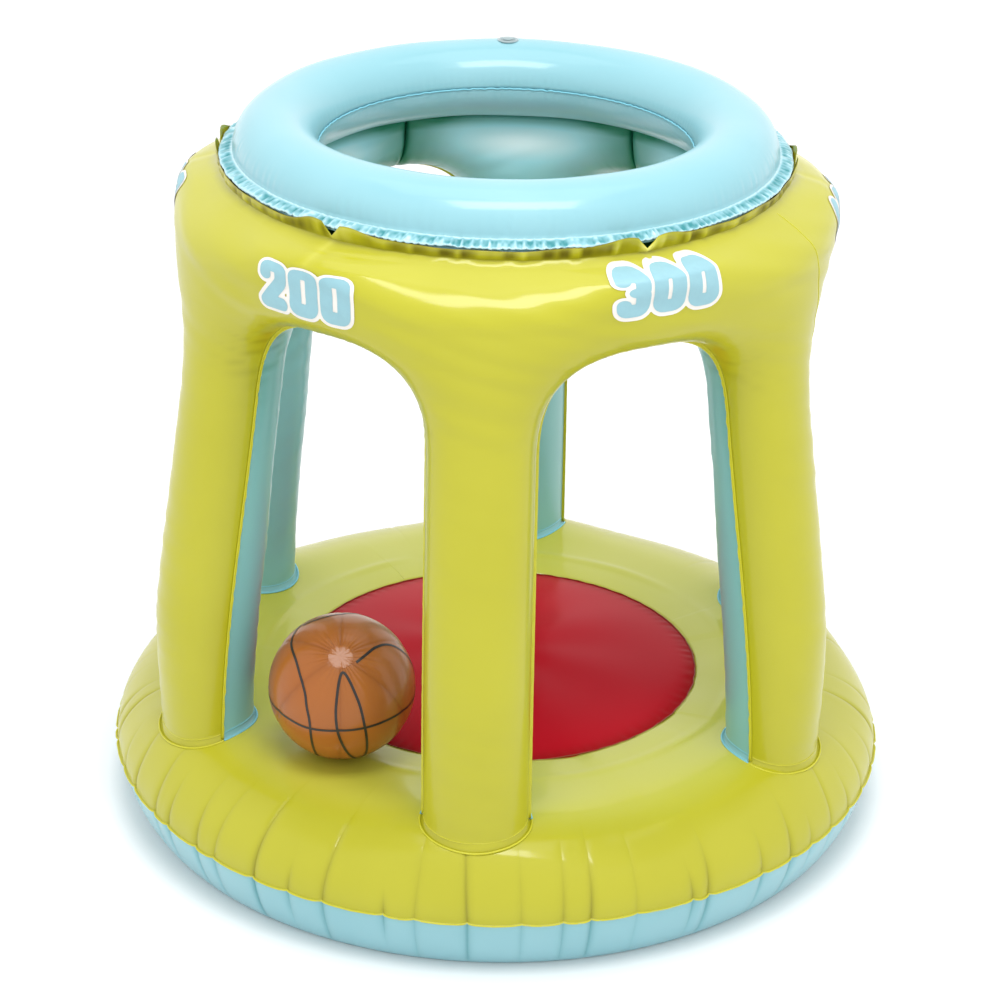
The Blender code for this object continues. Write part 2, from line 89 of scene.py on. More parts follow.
def linear(code: str) -> tuple[float, float, float, float]:
    """Turns an sRGB hex code into the linear colour that a shader takes.

    Args:
        code: Six hex digits, such as "d9d834".

    Returns:
        Red, green, blue and an alpha of 1.
    """
    parts = [int(code[i : i + 2], 16) / 255.0 for i in (0, 2, 4)]
    return (*[c / 12.92 if c <= 0.04045 else ((c + 0.055) / 1.055) ** 2.4 for c in parts], 1.0)


def feed(tree: bpy.types.NodeTree, node: bpy.types.Node, inputs: dict) -> None:
    """Gives a node's inputs, by name or number, a value or another node's output each."""
    for key, value in inputs.items():
        if isinstance(value, bpy.types.NodeSocket):
            tree.links.new(value, node.inputs[key])
        else:
            node.inputs[key].default_value = value


def add_node(tree: bpy.types.NodeTree, kind: str, settings: dict, inputs: dict) -> bpy.types.Node:
    """Adds one node to a tree, sets it and links it.

    Args:
        tree: The tree that gets the node.
        kind: The node's type name.
        settings: Its own properties by name.
        inputs: A value or another node's output for each input, by name or number.

    Returns:
        The new node.
    """
    node = tree.nodes.new(kind)
    for name, value in settings.items():
        setattr(node, name, value)
    feed(tree, node, inputs)
    return node


def start_material(name: str) -> tuple[Material, bpy.types.NodeTree, bpy.types.Node]:
    """Makes a material, and gives its tree and its shader too."""
    material = bpy.data.materials.new(name)
    material.use_nodes = True
    return material, material.node_tree, material.node_tree.nodes["Principled BSDF"]


def add_object(name: str, data: bpy.types.ID) -> bpy.types.Object:
    """Puts a mesh, a light or a camera into the scene."""
    obj = bpy.data.objects.new(name, data)
    bpy.context.scene.collection.objects.link(obj)
    return obj


@dataclass(frozen=True)
class FilmFinish:
    """Calendered soft PVC film: glossy, with a faint orange peel, and with painted shade in its creases and
    grooves and painted highlights on its crests.
    """

    name: str
    plain: str
    # The deep colour is painted shade, the pale one a random mottle, and the bright one a painted highlight
    deep: str
    pale: str
    bright: str
    roughness: float = 0.40
    peel: float = 0.10
    coat: float = 0.50
    specular: float = 0.30

    def material(self) -> Material:
        """Builds the film's material. The mesh attribute "painted_light_and_tone" runs from -1, a painted
        highlight, over 0 to 1, painted shade.
        """
        material, tree, shader = start_material(self.name)
        coords = add_node(tree, "ShaderNodeTexCoord", {}, {}).outputs["Object"]
        cloud = add_node(tree, "ShaderNodeTexNoise", {}, {"Vector": coords, "Scale": 9.0, "Detail": 2.0})
        limits = {"Value": cloud.outputs["Fac"], "From Min": 0.35, "From Max": 0.65, "To Max": 0.35}
        haze = add_node(tree, "ShaderNodeMapRange", {}, limits).outputs["Result"]
        # Painted light and shade: the mesh attribute blends the colour towards deep for painted shade and
        # towards bright for painted highlights
        painted_light_and_tone = add_node(tree, "ShaderNodeAttribute", {"attribute_name": "painted_light_and_tone"}, {}).outputs["Fac"]
        painted_highlight = add_node(tree, "ShaderNodeMath", {"operation": "MULTIPLY"}, {0: painted_light_and_tone, 1: -1.0})
        colour = linear(self.plain)
        for share, code in ((haze, self.pale), (painted_light_and_tone, self.deep), (painted_highlight.outputs["Value"], self.bright)):
            inputs = {0: share, 6: colour, 7: linear(code)}
            colour = add_node(tree, "ShaderNodeMix", {"data_type": "RGBA"}, inputs).outputs[2]
        # Peel about 14 mm across, and a fine grain of 1.5 mm, drawn coarser than the real calender grain
        peel = add_node(tree, "ShaderNodeTexNoise", {}, {"Vector": coords, "Scale": 70.0, "Detail": 1.0})
        grain = add_node(tree, "ShaderNodeTexNoise", {}, {"Vector": coords, "Scale": 650.0, "Detail": 0.0})
        inputs = {0: grain.outputs["Fac"], 1: 0.06, 2: peel.outputs["Fac"]}
        height = add_node(tree, "ShaderNodeMath", {"operation": "MULTIPLY_ADD"}, inputs).outputs["Value"]
        inputs = {"Strength": self.peel, "Distance": 0.0006, "Height": height}
        bump = add_node(tree, "ShaderNodeBump", {}, inputs).outputs["Normal"]
        # Crushed film scatters its gloss away
        limits = {"Value": painted_light_and_tone, "To Min": self.coat, "To Max": 0.15 * self.coat}
        gloss = add_node(tree, "ShaderNodeMapRange", {}, limits).outputs["Result"]
        feed(tree, shader, {"Base Color": colour, "Normal": bump, "Coat Weight": gloss})
        feed(tree, shader, {"Roughness": self.roughness, "IOR": 1.53, "Specular IOR Level": self.specular})
        feed(tree, shader, {"Coat Roughness": 0.12})
        return material


@dataclass(frozen=True)
class PlainFinish:
    """A finish of one colour with a faint mottle: ink, a weld bead, a moulding or the studio floor."""

    name: str
    plain: str
    mottle: str
    roughness: float
    mottle_scale: float = 120.0
    see_through: float = 0.0

    def material(self) -> Material:
        """Builds the finish's material."""
        material, tree, shader = start_material(self.name)
        coords = add_node(tree, "ShaderNodeTexCoord", {}, {}).outputs["Object"]
        inputs = {"Vector": coords, "Scale": self.mottle_scale, "Detail": 2.0}
        share = add_node(tree, "ShaderNodeTexNoise", {}, inputs).outputs["Fac"]
        inputs = {0: share, 6: linear(self.plain), 7: linear(self.mottle)}
        colour = add_node(tree, "ShaderNodeMix", {"data_type": "RGBA"}, inputs).outputs[2]
        feed(tree, shader, {"Base Color": colour, "Roughness": self.roughness, "IOR": 1.5})
        feed(tree, shader, {"Transmission Weight": self.see_through})
        return material


@dataclass
class Finishes:
    """Every finish of the object, made once."""

    yellow: Material = field(init=False)
    blue: Material = field(init=False)
    inner_blue: Material = field(init=False)
    red: Material = field(init=False)
    brown: Material = field(init=False)
    clear: Material = field(init=False)
    yellow_weld: Material = field(init=False)
    blue_weld: Material = field(init=False)
    red_weld: Material = field(init=False)
    blue_ink: Material = field(init=False)
    white_ink: Material = field(init=False)
    black_ink: Material = field(init=False)

    def __post_init__(self) -> None:
        """Makes the materials."""
        # Soft PVC film dyed yellow: bright and slightly greenish; its olive deep colour is painted shade and
        # its pale bright colour a painted highlight
        self.yellow = FilmFinish("yellow_pvc_film", "aeab17", "5c5400", "b5b221", "dcda6a").material()
        # Soft PVC film dyed light blue, on the ring and the base's underside; its deep colour is painted
        # shade and its bright colour a painted highlight
        self.blue = FilmFinish("light_blue_pvc_film", "84b8c2", "35868c", "90bfc8", "d2ebf0").material()
        # The same film inside the tower; its deep greenish colour is painted shade mixed with painted light
        # shining through the yellow sheet behind it, and its bright colour a painted highlight
        name = "light_blue_pvc_film_with_painted_backlight"
        self.inner_blue = FilmFinish(name, "9ad4dc", "1f7a5a", "a4dae0", "e2f6f8").material()
        # Very glossy PVC film of the floor disc; its deep colour is painted shade round the wrinkled rim
        codes = ("b60c1e", "7c1408", "be1122", "c86068")
        self.red = FilmFinish("red_pvc_film", *codes, 0.28, 0.05, 0.03, 0.04).material()
        # Glossy PVC film of the ball, brown and a little see-through; its deep colour is painted shade along
        # the welds and in the gathers
        codes = ("9e5a20", "6a3410", "a86428", "b8743a")
        self.brown = FilmFinish("brown_pvc_film", *codes, 0.30, 0.08, 0.28, 0.25).material()
        # Moulded clear PVC of the air valves, milky where it is thick
        self.clear = PlainFinish("moulded_clear_pvc", "cfe0e2", "b8d0d4", 0.28, 90.0, 0.55).material()
        # Welds are clearer than the film, because both layers are fused; the yellow and blue welds are also
        # lighter than their film, a painted highlight along each weld
        self.yellow_weld = PlainFinish("yellow_pvc_weld", "c9c630", "bab71e", 0.35).material()
        self.blue_weld = PlainFinish("light_blue_pvc_weld", "86ccdc", "76c0d2", 0.35).material()
        self.red_weld = PlainFinish("red_pvc_weld", "9c4a10", "7c2c0c", 0.3).material()
        # Screen-printed PVC inks
        self.blue_ink = PlainFinish("light_blue_screen_ink", "86b2be", "8ebcc6", 0.45).material()
        self.white_ink = PlainFinish("white_screen_ink", "e6e2dc", "dedad2", 0.45).material()
        self.black_ink = PlainFinish("black_screen_ink", "1c1712", "2a2019", 0.35).material()


def ring_noise(angles: Array, low: int, high: int, seed: int) -> Array:
    """Smooth noise round a circle, the same at 0 and at a full turn, from about -1 to 1.

    Args:
        angles: Azimuths in radians.
        low: The fewest waves round the circle.
        high: The most waves round the circle.
        seed: Which noise.
    """
    rng = np.random.default_rng(seed)
    total = np.zeros_like(angles)
    for waves in rng.integers(low, high + 1, WAVES):
        total += np.cos(waves * angles + rng.uniform(0.0, TAU))
    return total / math.sqrt(WAVES * 0.5) * 0.6


def crumple(angles: Array, low: int, high: int, seed: int) -> Array:
    """Sharp-ridged noise round a circle, as in crushed film, from 0 to about 1."""
    return 1.0 - np.minimum(1.0, np.abs(ring_noise(angles, low, high, seed)) * 1.6)


def smooth_step(values: Array, low: float, high: float) -> Array:
    """Runs smoothly from 0 at low to 1 at high."""
    share = np.clip((values - low) / (high - low), 0.0, 1.0)
    return share * share * (3.0 - 2.0 * share)


def hump(values: Array, width: float, middle: float = 0.0) -> Array:
    """A smooth hump: 1 at its middle, and 0.37 one width to either side of it."""
    return np.exp(-(((values - middle) / width) ** 2))


def arc_length(across: Array, up: Array) -> Array:
    """How far along a line of points each one lies."""
    return np.concatenate([[0.0], np.cumsum(np.hypot(np.diff(across), np.diff(up)))])


def even_angles(count: int) -> Array:
    """So many azimuths, evenly round a full turn from 0."""
    return np.arange(count) * TAU / count


def polar_points(radius: Array, azimuth: Array, height: Array) -> Array:
    """Points at a radius, an azimuth in radians and a height, with x, y and z along the last axis."""
    radius, azimuth, height = np.broadcast_arrays(radius, azimuth, height)
    return np.stack([radius * np.sin(azimuth), -radius * np.cos(azimuth), height], axis=-1)


def angle_between(angles: Array, middle: float) -> Array:
    """The signed angle from a middle azimuth, from -pi to pi."""
    return (angles - middle + math.pi) % TAU - math.pi


def grid_mesh(
    name: str, points: Array, wrap: bool = False, flip: bool = False, painted_light_and_tone: Array | None = None
) -> Mesh:
    """Makes a smooth mesh of quads from rows and columns of points.

    Args:
        name: The mesh's name.
        points: Rows by columns by 3. Rows that go up and columns that go round towards +azimuth face out.
        wrap: Joins the last column to the first.
        flip: Turns the faces round.
        painted_light_and_tone: The "painted_light_and_tone" attribute for each point, from -1, a painted
            highlight, to 1, painted shade; on the ball's pole patch it gives a slightly deeper tone of its
            own.

    Returns:
        The mesh.
    """
    rows, columns = points.shape[:2]
    index = np.arange(rows * columns).reshape(rows, columns)
    if wrap:
        index = np.concatenate([index, index[:, :1]], axis=1)
    quads = np.stack([index[:-1, :-1], index[:-1, 1:], index[1:, 1:], index[1:, :-1]], axis=-1)
    quads = quads.reshape(-1, 4)
    if flip:
        quads = quads[:, ::-1]
    mesh = bpy.data.meshes.new(name)
    mesh.from_pydata(points.reshape(-1, 3).tolist(), [], quads.tolist())
    if painted_light_and_tone is not None:
        values = mesh.attributes.new("painted_light_and_tone", "FLOAT", "POINT")
        values.data.foreach_set("value", np.clip(painted_light_and_tone, -1.0, 1.0).astype(np.float32).ravel())
    mesh.update()
    mesh.shade_smooth()
    return mesh


def weld_points(mesh: Mesh, distance: float = 0.00002) -> None:
    """Merges points that lie on each other, as along the seam between two panels."""
    work = bmesh.new()
    work.from_mesh(mesh)
    bmesh.ops.remove_doubles(work, verts=work.verts, dist=distance)
    work.to_mesh(mesh)
    work.free()
    mesh.shade_smooth()


def join_meshes(name: str, meshes: list[Mesh]) -> Mesh:
    """Joins meshes into one and removes the old ones."""
    work = bmesh.new()
    for mesh in meshes:
        work.from_mesh(mesh)
    joined = bpy.data.meshes.new(name)
    work.to_mesh(joined)
    work.free()
    for mesh in meshes:
        bpy.data.meshes.remove(mesh)
    joined.shade_smooth()
    return joined


def piece(
    mesh: Mesh,
    material: Material,
    body: str = "root",
    nodes: tuple[str, ...] = (),
    thickness: float = 0.0,
) -> None:
    """Puts a finished mesh into the scene as a piece of the object, under the mesh's own name.

    Args:
        mesh: The mesh, in place.
        material: Its finish.
        body: The body that it rides on.
        nodes: The solids that it stands for.
        thickness: The film's thickness, inward from its outer face, or 0 for a closed mesh.
    """
    obj = add_object(mesh.name, mesh)
    mesh.materials.clear()
    mesh.materials.append(material)
    if thickness:
        solidify = obj.modifiers.new("Film", "SOLIDIFY")
        solidify.thickness = thickness
        solidify.offset = -1.0
    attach(obj, body)
    if nodes:
        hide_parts(*nodes)
    LOG.info("%s: %d faces on %s", obj.name, len(mesh.polygons), body)


@dataclass
class BeadMaker:
    """Geometry Nodes that run a round weld bead along a path of edges."""

    tree: bpy.types.NodeTree = field(init=False)

    def __post_init__(self) -> None:
        """Builds the tree with its named inputs."""
        tree = bpy.data.node_groups.new("weld_bead", "GeometryNodeTree")
        sockets = {"Path": "Geometry", "Bead radius": "Float", "Sides": "Int", "Finish": "Material"}
        for name, kind in sockets.items():
            tree.interface.new_socket(name, in_out="INPUT", socket_type=f"NodeSocket{kind}")
        tree.interface.new_socket("Bead", in_out="OUTPUT", socket_type="NodeSocketGeometry")
        given = tree.nodes.new("NodeGroupInput").outputs
        path = add_node(tree, "GeometryNodeMeshToCurve", {}, {"Mesh": given["Path"]}).outputs["Curve"]
        inputs = {"Resolution": given["Sides"], "Radius": given["Bead radius"]}
        ring = add_node(tree, "GeometryNodeCurvePrimitiveCircle", {}, inputs).outputs["Curve"]
        inputs = {"Curve": path, "Profile Curve": ring, "Fill Caps": True}
        bead = add_node(tree, "GeometryNodeCurveToMesh", {}, inputs).outputs["Mesh"]
        for kind in ("GeometryNodeSetShadeSmooth", "GeometryNodeRealizeInstances"):
            bead = add_node(tree, kind, {}, {"Geometry": bead}).outputs["Geometry"]
        inputs = {"Geometry": bead, "Material": given["Finish"]}
        bead = add_node(tree, "GeometryNodeSetMaterial", {}, inputs).outputs["Geometry"]
        add_node(tree, "NodeGroupOutput", {}, {"Bead": bead})
        self.tree = tree

    def run(
        self,
        name: str,
        paths: list[Array],
        radius: float,
        material: Material,
        slot: Slot,
        closed: bool = False,
    ) -> None:
        """Makes one bead piece along some paths.

        Args:
            name: The piece's name.
            paths: Point rows, one for each run of bead.
            radius: The bead's radius.
            material: Its finish.
            slot: The record's slot; not used.
            closed: Joins each path's end to its start.
        """
        points, edges = [], []
        for path in paths:
            first = len(points)
            points.extend(path.tolist())
            edges.extend((first + i, first + i + 1) for i in range(len(path) - 1))
            if closed:
                edges.append((first + len(path) - 1, first))
        guide = bpy.data.meshes.new(f"{name}_guide")
        guide.from_pydata(points, edges, [])
        maker = add_object(guide.name, guide)
        modifier = maker.modifiers.new("Bead", "NODES")
        modifier.node_group = self.tree
        values = {"Bead radius": radius, "Sides": BEAD_SIDES, "Finish": material}
        for item in self.tree.interface.items_tree:
            if item.in_out == "INPUT" and item.name in values:
                modifier[item.identifier] = values[item.name]
        maker.update_tag()
        bpy.context.view_layer.update()
        graph = bpy.context.evaluated_depsgraph_get()
        mesh = bpy.data.meshes.new_from_object(maker.evaluated_get(graph))
        mesh.name = name
        bpy.data.objects.remove(maker)
        piece(mesh, material)


@dataclass
class Base:
    """The low pillow under everything: a yellow and a light blue skin, and the red floor disc."""

    edge_radius: float = 0.4542
    margin: float = 0.0030
    weld_height: float = 0.0698
    crest_radius: float = 0.3290
    crest_height: float = 0.1475
    shoulder_round: float = 2.10
    rest_radius: float = 0.4245
    side_round: float = 1.45
    floor_radius: float = 0.2380
    seam_dip: float = 0.0050
    dome: float = 0.0230
    leg_rise: float = 0.0140
    leg_spread: float = 0.0950
    ridge_radius: float = 0.2840
    pleats: int = 58
    pleat_depth: float = 0.0016
    scallop: float = 0.0016
    # Each pleat's scatter as a share of the pitch, its groove's width, and its lips' place and width
    pleat_scatter: float = 0.34
    groove_width: float = 0.0026
    lip_place: float = 0.008
    lip_width: float = 0.005
    # How far over each skin a pleat of length 1 runs
    yellow_run: float = 0.16
    blue_run: float = 0.30
    ridge_height: float = 0.0016
    ridge_width: float = 0.006
    swelling: float = 0.0010
    # Fewest and most waves and the seed of the noise that the disc's weld and the skin beside it follow
    rim_noise: tuple[int, int, int] = (30, 90, 23)

    def __post_init__(self) -> None:
        """Places the pleats, which pull in the skins round the weld, and the columns that follow them."""
        rng = np.random.default_rng(7)
        even = even_angles(self.pleats)
        moved = rng.uniform(-self.pleat_scatter, self.pleat_scatter, self.pleats) * TAU / self.pleats
        self.pleat_angles = np.sort(even + moved)
        self.pleat_lengths = rng.uniform(0.16, 0.5, self.pleats) ** 1.5 * 1.6
        self.pleat_depths = self.pleat_depth * rng.uniform(0.35, 1.5, self.pleats)
        self.pleat_leans = rng.uniform(-0.03, 0.03, self.pleats)
        # Columns stand close beside each pleat, 1.2 mm apart, and wide apart between two
        half = np.array([0.0, 0.0012, 0.0028, 0.0055, 0.0095, 0.016]) / self.edge_radius
        columns = []
        for start, end in zip(self.pleat_angles, [*self.pleat_angles[1:], self.pleat_angles[0] + TAU]):
            reach = half * min(1.0, 0.44 * (end - start) / half[-1])
            columns.extend([start + reach, [(start + end) / 2], end - reach[:0:-1]])
        self.angles = np.concatenate(columns)
        first, last = self.pleat_angles[:1], self.pleat_angles[-1:]
        self.ring = np.concatenate([last - TAU, self.pleat_angles, first + TAU])
        leans = np.concatenate([self.pleat_leans[-1:], self.pleat_leans, self.pleat_leans[:1]])
        self.column_leans = np.interp((self.angles - self.ring[0]) % TAU + self.ring[0], self.ring, leans)

    def rise_at_legs(self, radius: Array, azimuth: Array) -> Array:
        """How far the upper skin stands up where a leg's weld holds it."""
        across = angle_between(LEGS * azimuth, 0.0) / LEGS * radius
        near = smooth_step(radius, 0.290, 0.400) * (1.0 - smooth_step(radius, 0.418, self.edge_radius))
        return self.leg_rise * near * hump(across, self.leg_spread)

    def top_height(self, radius: Array, azimuth: Array) -> Array:
        """Height of the upper surface at a radius and an azimuth."""
        return self.profile(radius) + self.rise_at_legs(radius, azimuth)

    def profile(self, radius: Array) -> Array:
        """Height of the upper surface at a radius, between two legs."""
        out = np.clip((radius - self.crest_radius) / (self.edge_radius - self.crest_radius), 0.0, 1.0)
        fall = (1.0 - out**self.shoulder_round) ** (1.0 / self.shoulder_round)
        shoulder = self.weld_height + (self.crest_height - self.weld_height) * fall
        left = np.clip((self.crest_radius - radius) / (self.crest_radius - self.floor_radius), 0.0, 1.0)
        slope = self.crest_height - self.seam_dip * left**3
        inside = np.clip(radius / self.floor_radius, 0.0, 1.0)
        disc = self.crest_height - self.seam_dip - 0.0006 + self.dome * (1.0 - inside**2)
        inner = np.where(radius >= self.floor_radius, slope, disc)
        return np.where(radius >= self.crest_radius, shoulder, inner)

    def between_pleats(self) -> Array:
        """How far each azimuth is from the pleats beside it: 0 on a pleat, 1 half way between two."""
        ring = self.ring
        angles = (self.angles - ring[0]) % TAU + ring[0]
        at = np.clip(np.searchsorted(ring, angles, side="right"), 1, len(ring) - 1)
        share = np.clip((angles - ring[at - 1]) / (ring[at] - ring[at - 1]), 0.0, 1.0)
        return np.sin(math.pi * share)

    def pleat_pull(self, reach: Array) -> tuple[Array, Array]:
        """How far the pleats pull the skin in.

        Args:
            reach: Each row's distance from the weld over the skin, divided by that skin's run.

        Returns:
            The pull in metres for each row and azimuth, and how deep in a pleat each point is, 0 to 1.
        """
        pull = np.zeros((len(reach), len(self.angles)))
        depth = np.zeros_like(pull)
        rows = reach[:, None]
        for angle, length, deep in zip(self.pleat_angles, self.pleat_lengths, self.pleat_depths):
            away = np.abs(angle_between(self.angles[None, :], angle)) * self.edge_radius
            fade = hump(rows, length)
            groove = np.exp(-away / self.groove_width) * fade
            lips = hump(away, self.lip_width, self.lip_place) * fade
            pull += deep * (groove - 0.25 * lips)
            depth += groove * deep / self.pleat_depth
        return pull, depth

    def leaning(self, reach: Array) -> Array:
        """Each point's azimuth, row by row, where the columns lean as the pleats do."""
        return self.angles[None, :] + self.column_leans[None, :] * reach[:, None]

    def painted_fill_light(self, radius: Array) -> Array:
        """How much paler the floor inside the legs is painted, a painted light where the tower shades it, for
        the painted_light_and_tone value.
        """
        return 0.34 * (1.0 - smooth_step(radius, 0.350, 0.405))

    def yellow_skin(self) -> Mesh:
        """The upper skin, from its weld margin up over the shoulder and in to the disc."""
        turn = np.linspace(0.5 * math.pi, 0.0, 44)
        out = np.sin(turn) ** (2.0 / self.shoulder_round)
        shoulder = self.crest_radius + (self.edge_radius - self.crest_radius) * out
        inner = np.linspace(self.crest_radius, self.floor_radius, 22)[1:]
        radius = np.concatenate([shoulder, inner])
        height = self.profile(radius)
        rise, run = np.gradient(height), np.gradient(radius)
        size = np.hypot(rise, run)
        normal_r, normal_z = rise / size, -run / size
        arc = arc_length(radius, height)
        reach = arc / self.yellow_run
        pull, depth = self.pleat_pull(reach)
        bulge = self.between_pleats()[None, :] ** 0.7 * hump(arc, 0.02)[:, None]
        # A soft ridge runs round between the disc and the crest, where the film has been creased flat
        ridge = self.ridge_height * hump(radius, self.ridge_width, self.ridge_radius)[:, None]
        ridge = ridge * (0.6 + 0.5 * ring_noise(self.angles, 3, 11, 21)[None, :])
        calm = ring_noise(self.angles, 5, 18, 22)[None, :] * 0.0006 * smooth_step(arc, 0.02, 0.09)[:, None]
        shift = bulge * self.swelling - pull + ridge + calm
        r = radius[:, None] + normal_r[:, None] * shift
        z = height[:, None] + normal_z[:, None] * shift + self.rise_at_legs(radius[:, None], self.angles)
        sink = self.scallop * self.between_pleats()[None, :] * hump(arc, 0.016)[:, None]
        wobble = 0.0005 * ring_noise(self.angles, *self.rim_noise)
        r[-1] += wobble
        z = z - sink
        margin_r = r[:1] + self.margin * 0.5
        margin = np.concatenate([margin_r + self.margin * 0.4, margin_r], axis=0)
        low = np.repeat(z[:1] - 0.0002, 2, axis=0)
        r, z = np.concatenate([margin, r]), np.concatenate([low, z])
        # Painted shade in the pleats' grooves, and painted light that lifts the shaded floor inside the legs
        painted_light_and_tone = np.concatenate([np.zeros((2, len(self.angles))), depth * 0.35 - self.painted_fill_light(radius)[:, None]])
        self.weld_path = polar_points(margin_r[0] + 0.0004, self.angles, low[0] - 0.0003)
        azimuth = self.leaning(np.concatenate([[0.0, 0.0], reach]))
        return grid_mesh("base_upper_skin", polar_points(r, azimuth, z), wrap=True, painted_light_and_tone=painted_light_and_tone)

    def blue_skin(self) -> Mesh:
        """The lower skin: the flat underside, the side up to the weld, and the margin."""
        turn = np.linspace(0.5 * math.pi, 0.0, 30)
        power = 2.0 / self.side_round
        radius = self.rest_radius + (self.edge_radius - self.rest_radius) * np.cos(turn) ** power
        height = (self.weld_height - 0.0006) * (1.0 - np.sin(turn) ** power)
        under = np.array([0.0, 0.12, 0.24, 0.34, 0.40, 0.418])
        radius = np.concatenate([under, radius])
        height = np.concatenate([np.zeros(len(under)), height])
        arc = arc_length(radius, height)
        arc = arc[-1] - arc
        pull, depth = self.pleat_pull(arc / self.blue_run)
        on_side = smooth_step(height, 0.0, 0.012)[:, None]
        fine = 0.00035 * ring_noise(self.angles, 120, 260, 31)[None, :]
        fine = fine * hump(arc, 0.05)[:, None]
        bulge = self.between_pleats()[None, :] ** 0.7 * hump(arc, 0.035)[:, None]
        shift = (bulge * self.swelling - pull * 0.9 + fine) * on_side
        rise, run = np.gradient(height), np.gradient(radius)
        size = np.maximum(np.hypot(rise, run), 1e-9)
        r = radius[:, None] + (rise / size)[:, None] * shift
        z = height[:, None] - (run / size)[:, None] * shift * 0.3
        sink = self.scallop * self.between_pleats()[None, :] * hump(arc, 0.016)[:, None]
        z = np.maximum(z - sink * on_side, 0.0)
        edge = np.stack([r[-1] + self.margin * 0.5, r[-1] + self.margin * 0.9])
        level = np.repeat(z[-1:] + 0.0001, 2, axis=0)
        r, z = np.concatenate([r, edge]), np.concatenate([z, level])
        # Painted shade in the pleats' grooves up the side
        painted_light_and_tone = np.concatenate([depth * 0.5 * on_side, np.zeros((2, len(self.angles)))])
        azimuth = self.leaning(np.zeros(len(r)))
        mesh = grid_mesh("base_lower_skin", polar_points(r, azimuth, z), wrap=True, painted_light_and_tone=painted_light_and_tone)
        weld_points(mesh)
        return mesh

    def red_disc(self) -> Mesh:
        """The domed floor disc, a little wrinkled where its rim is welded."""
        angles = even_angles(400)
        radius = self.floor_radius * np.sin(np.linspace(0.5 * math.pi, 0.0, 46))
        height = self.profile(radius * 0.99999)
        rim = hump(radius, 0.012, self.floor_radius)[:, None]
        wrinkle = rim * 0.0005 * ring_noise(angles, 50, 120, 41)[None, :]
        wave = 0.0011 * ring_noise(angles, 3, 9, 42)[None, :]
        wave = wave * (np.sin(math.pi * radius / self.floor_radius) ** 2)[:, None]
        edge = wrinkle * (1.0 - hump(radius, 0.003, self.floor_radius))[:, None]
        z = height[:, None] + edge + wave
        r = np.concatenate([[self.floor_radius + 0.004], radius])
        z = np.concatenate([z[:1], z])
        # Painted shade round the wrinkled rim
        painted_light_and_tone = np.concatenate([rim[:1], rim]) * 0.5 + np.zeros_like(z)
        points = polar_points(r[:, None], angles[None, :], z)
        mesh = grid_mesh("floor_disc_skin", points, wrap=True, painted_light_and_tone=painted_light_and_tone)
        weld_points(mesh)
        return mesh

    def build(self, finishes: Finishes, beads: BeadMaker, valve: "AirValve") -> None:
        """Makes and dresses the base's pieces."""
        yellow = self.yellow_skin()
        blue = self.blue_skin()
        valve.open_film(blue)
        for mesh, finish, slot, node in (
            (yellow, finishes.yellow, Slot.YELLOW, "base_top_sheet"),
            (blue, finishes.blue, Slot.BLUE, "base_bottom_sheet"),
            (self.red_disc(), finishes.red, Slot.RED, "floor_disc"),
        ):
            piece(mesh, finish, nodes=(node,), thickness=FILM)
        beads.run("base_weld", [self.weld_path], 0.0010, finishes.yellow_weld, Slot.YELLOW, closed=True)
        angles = even_angles(500)
        rim = self.floor_radius + 0.0005 * ring_noise(angles, *self.rim_noise) - 0.0004
        height = self.crest_height - self.seam_dip + 0.0001
        line = polar_points(rim, angles, np.full_like(angles, height))
        beads.run("floor_disc_weld", [line], 0.0007, finishes.red_weld, Slot.RED, closed=True)
        frame["nodes"]["floor_tie_band"].data.materials.clear()
        frame["nodes"]["floor_tie_band"].data.materials.append(finishes.blue)


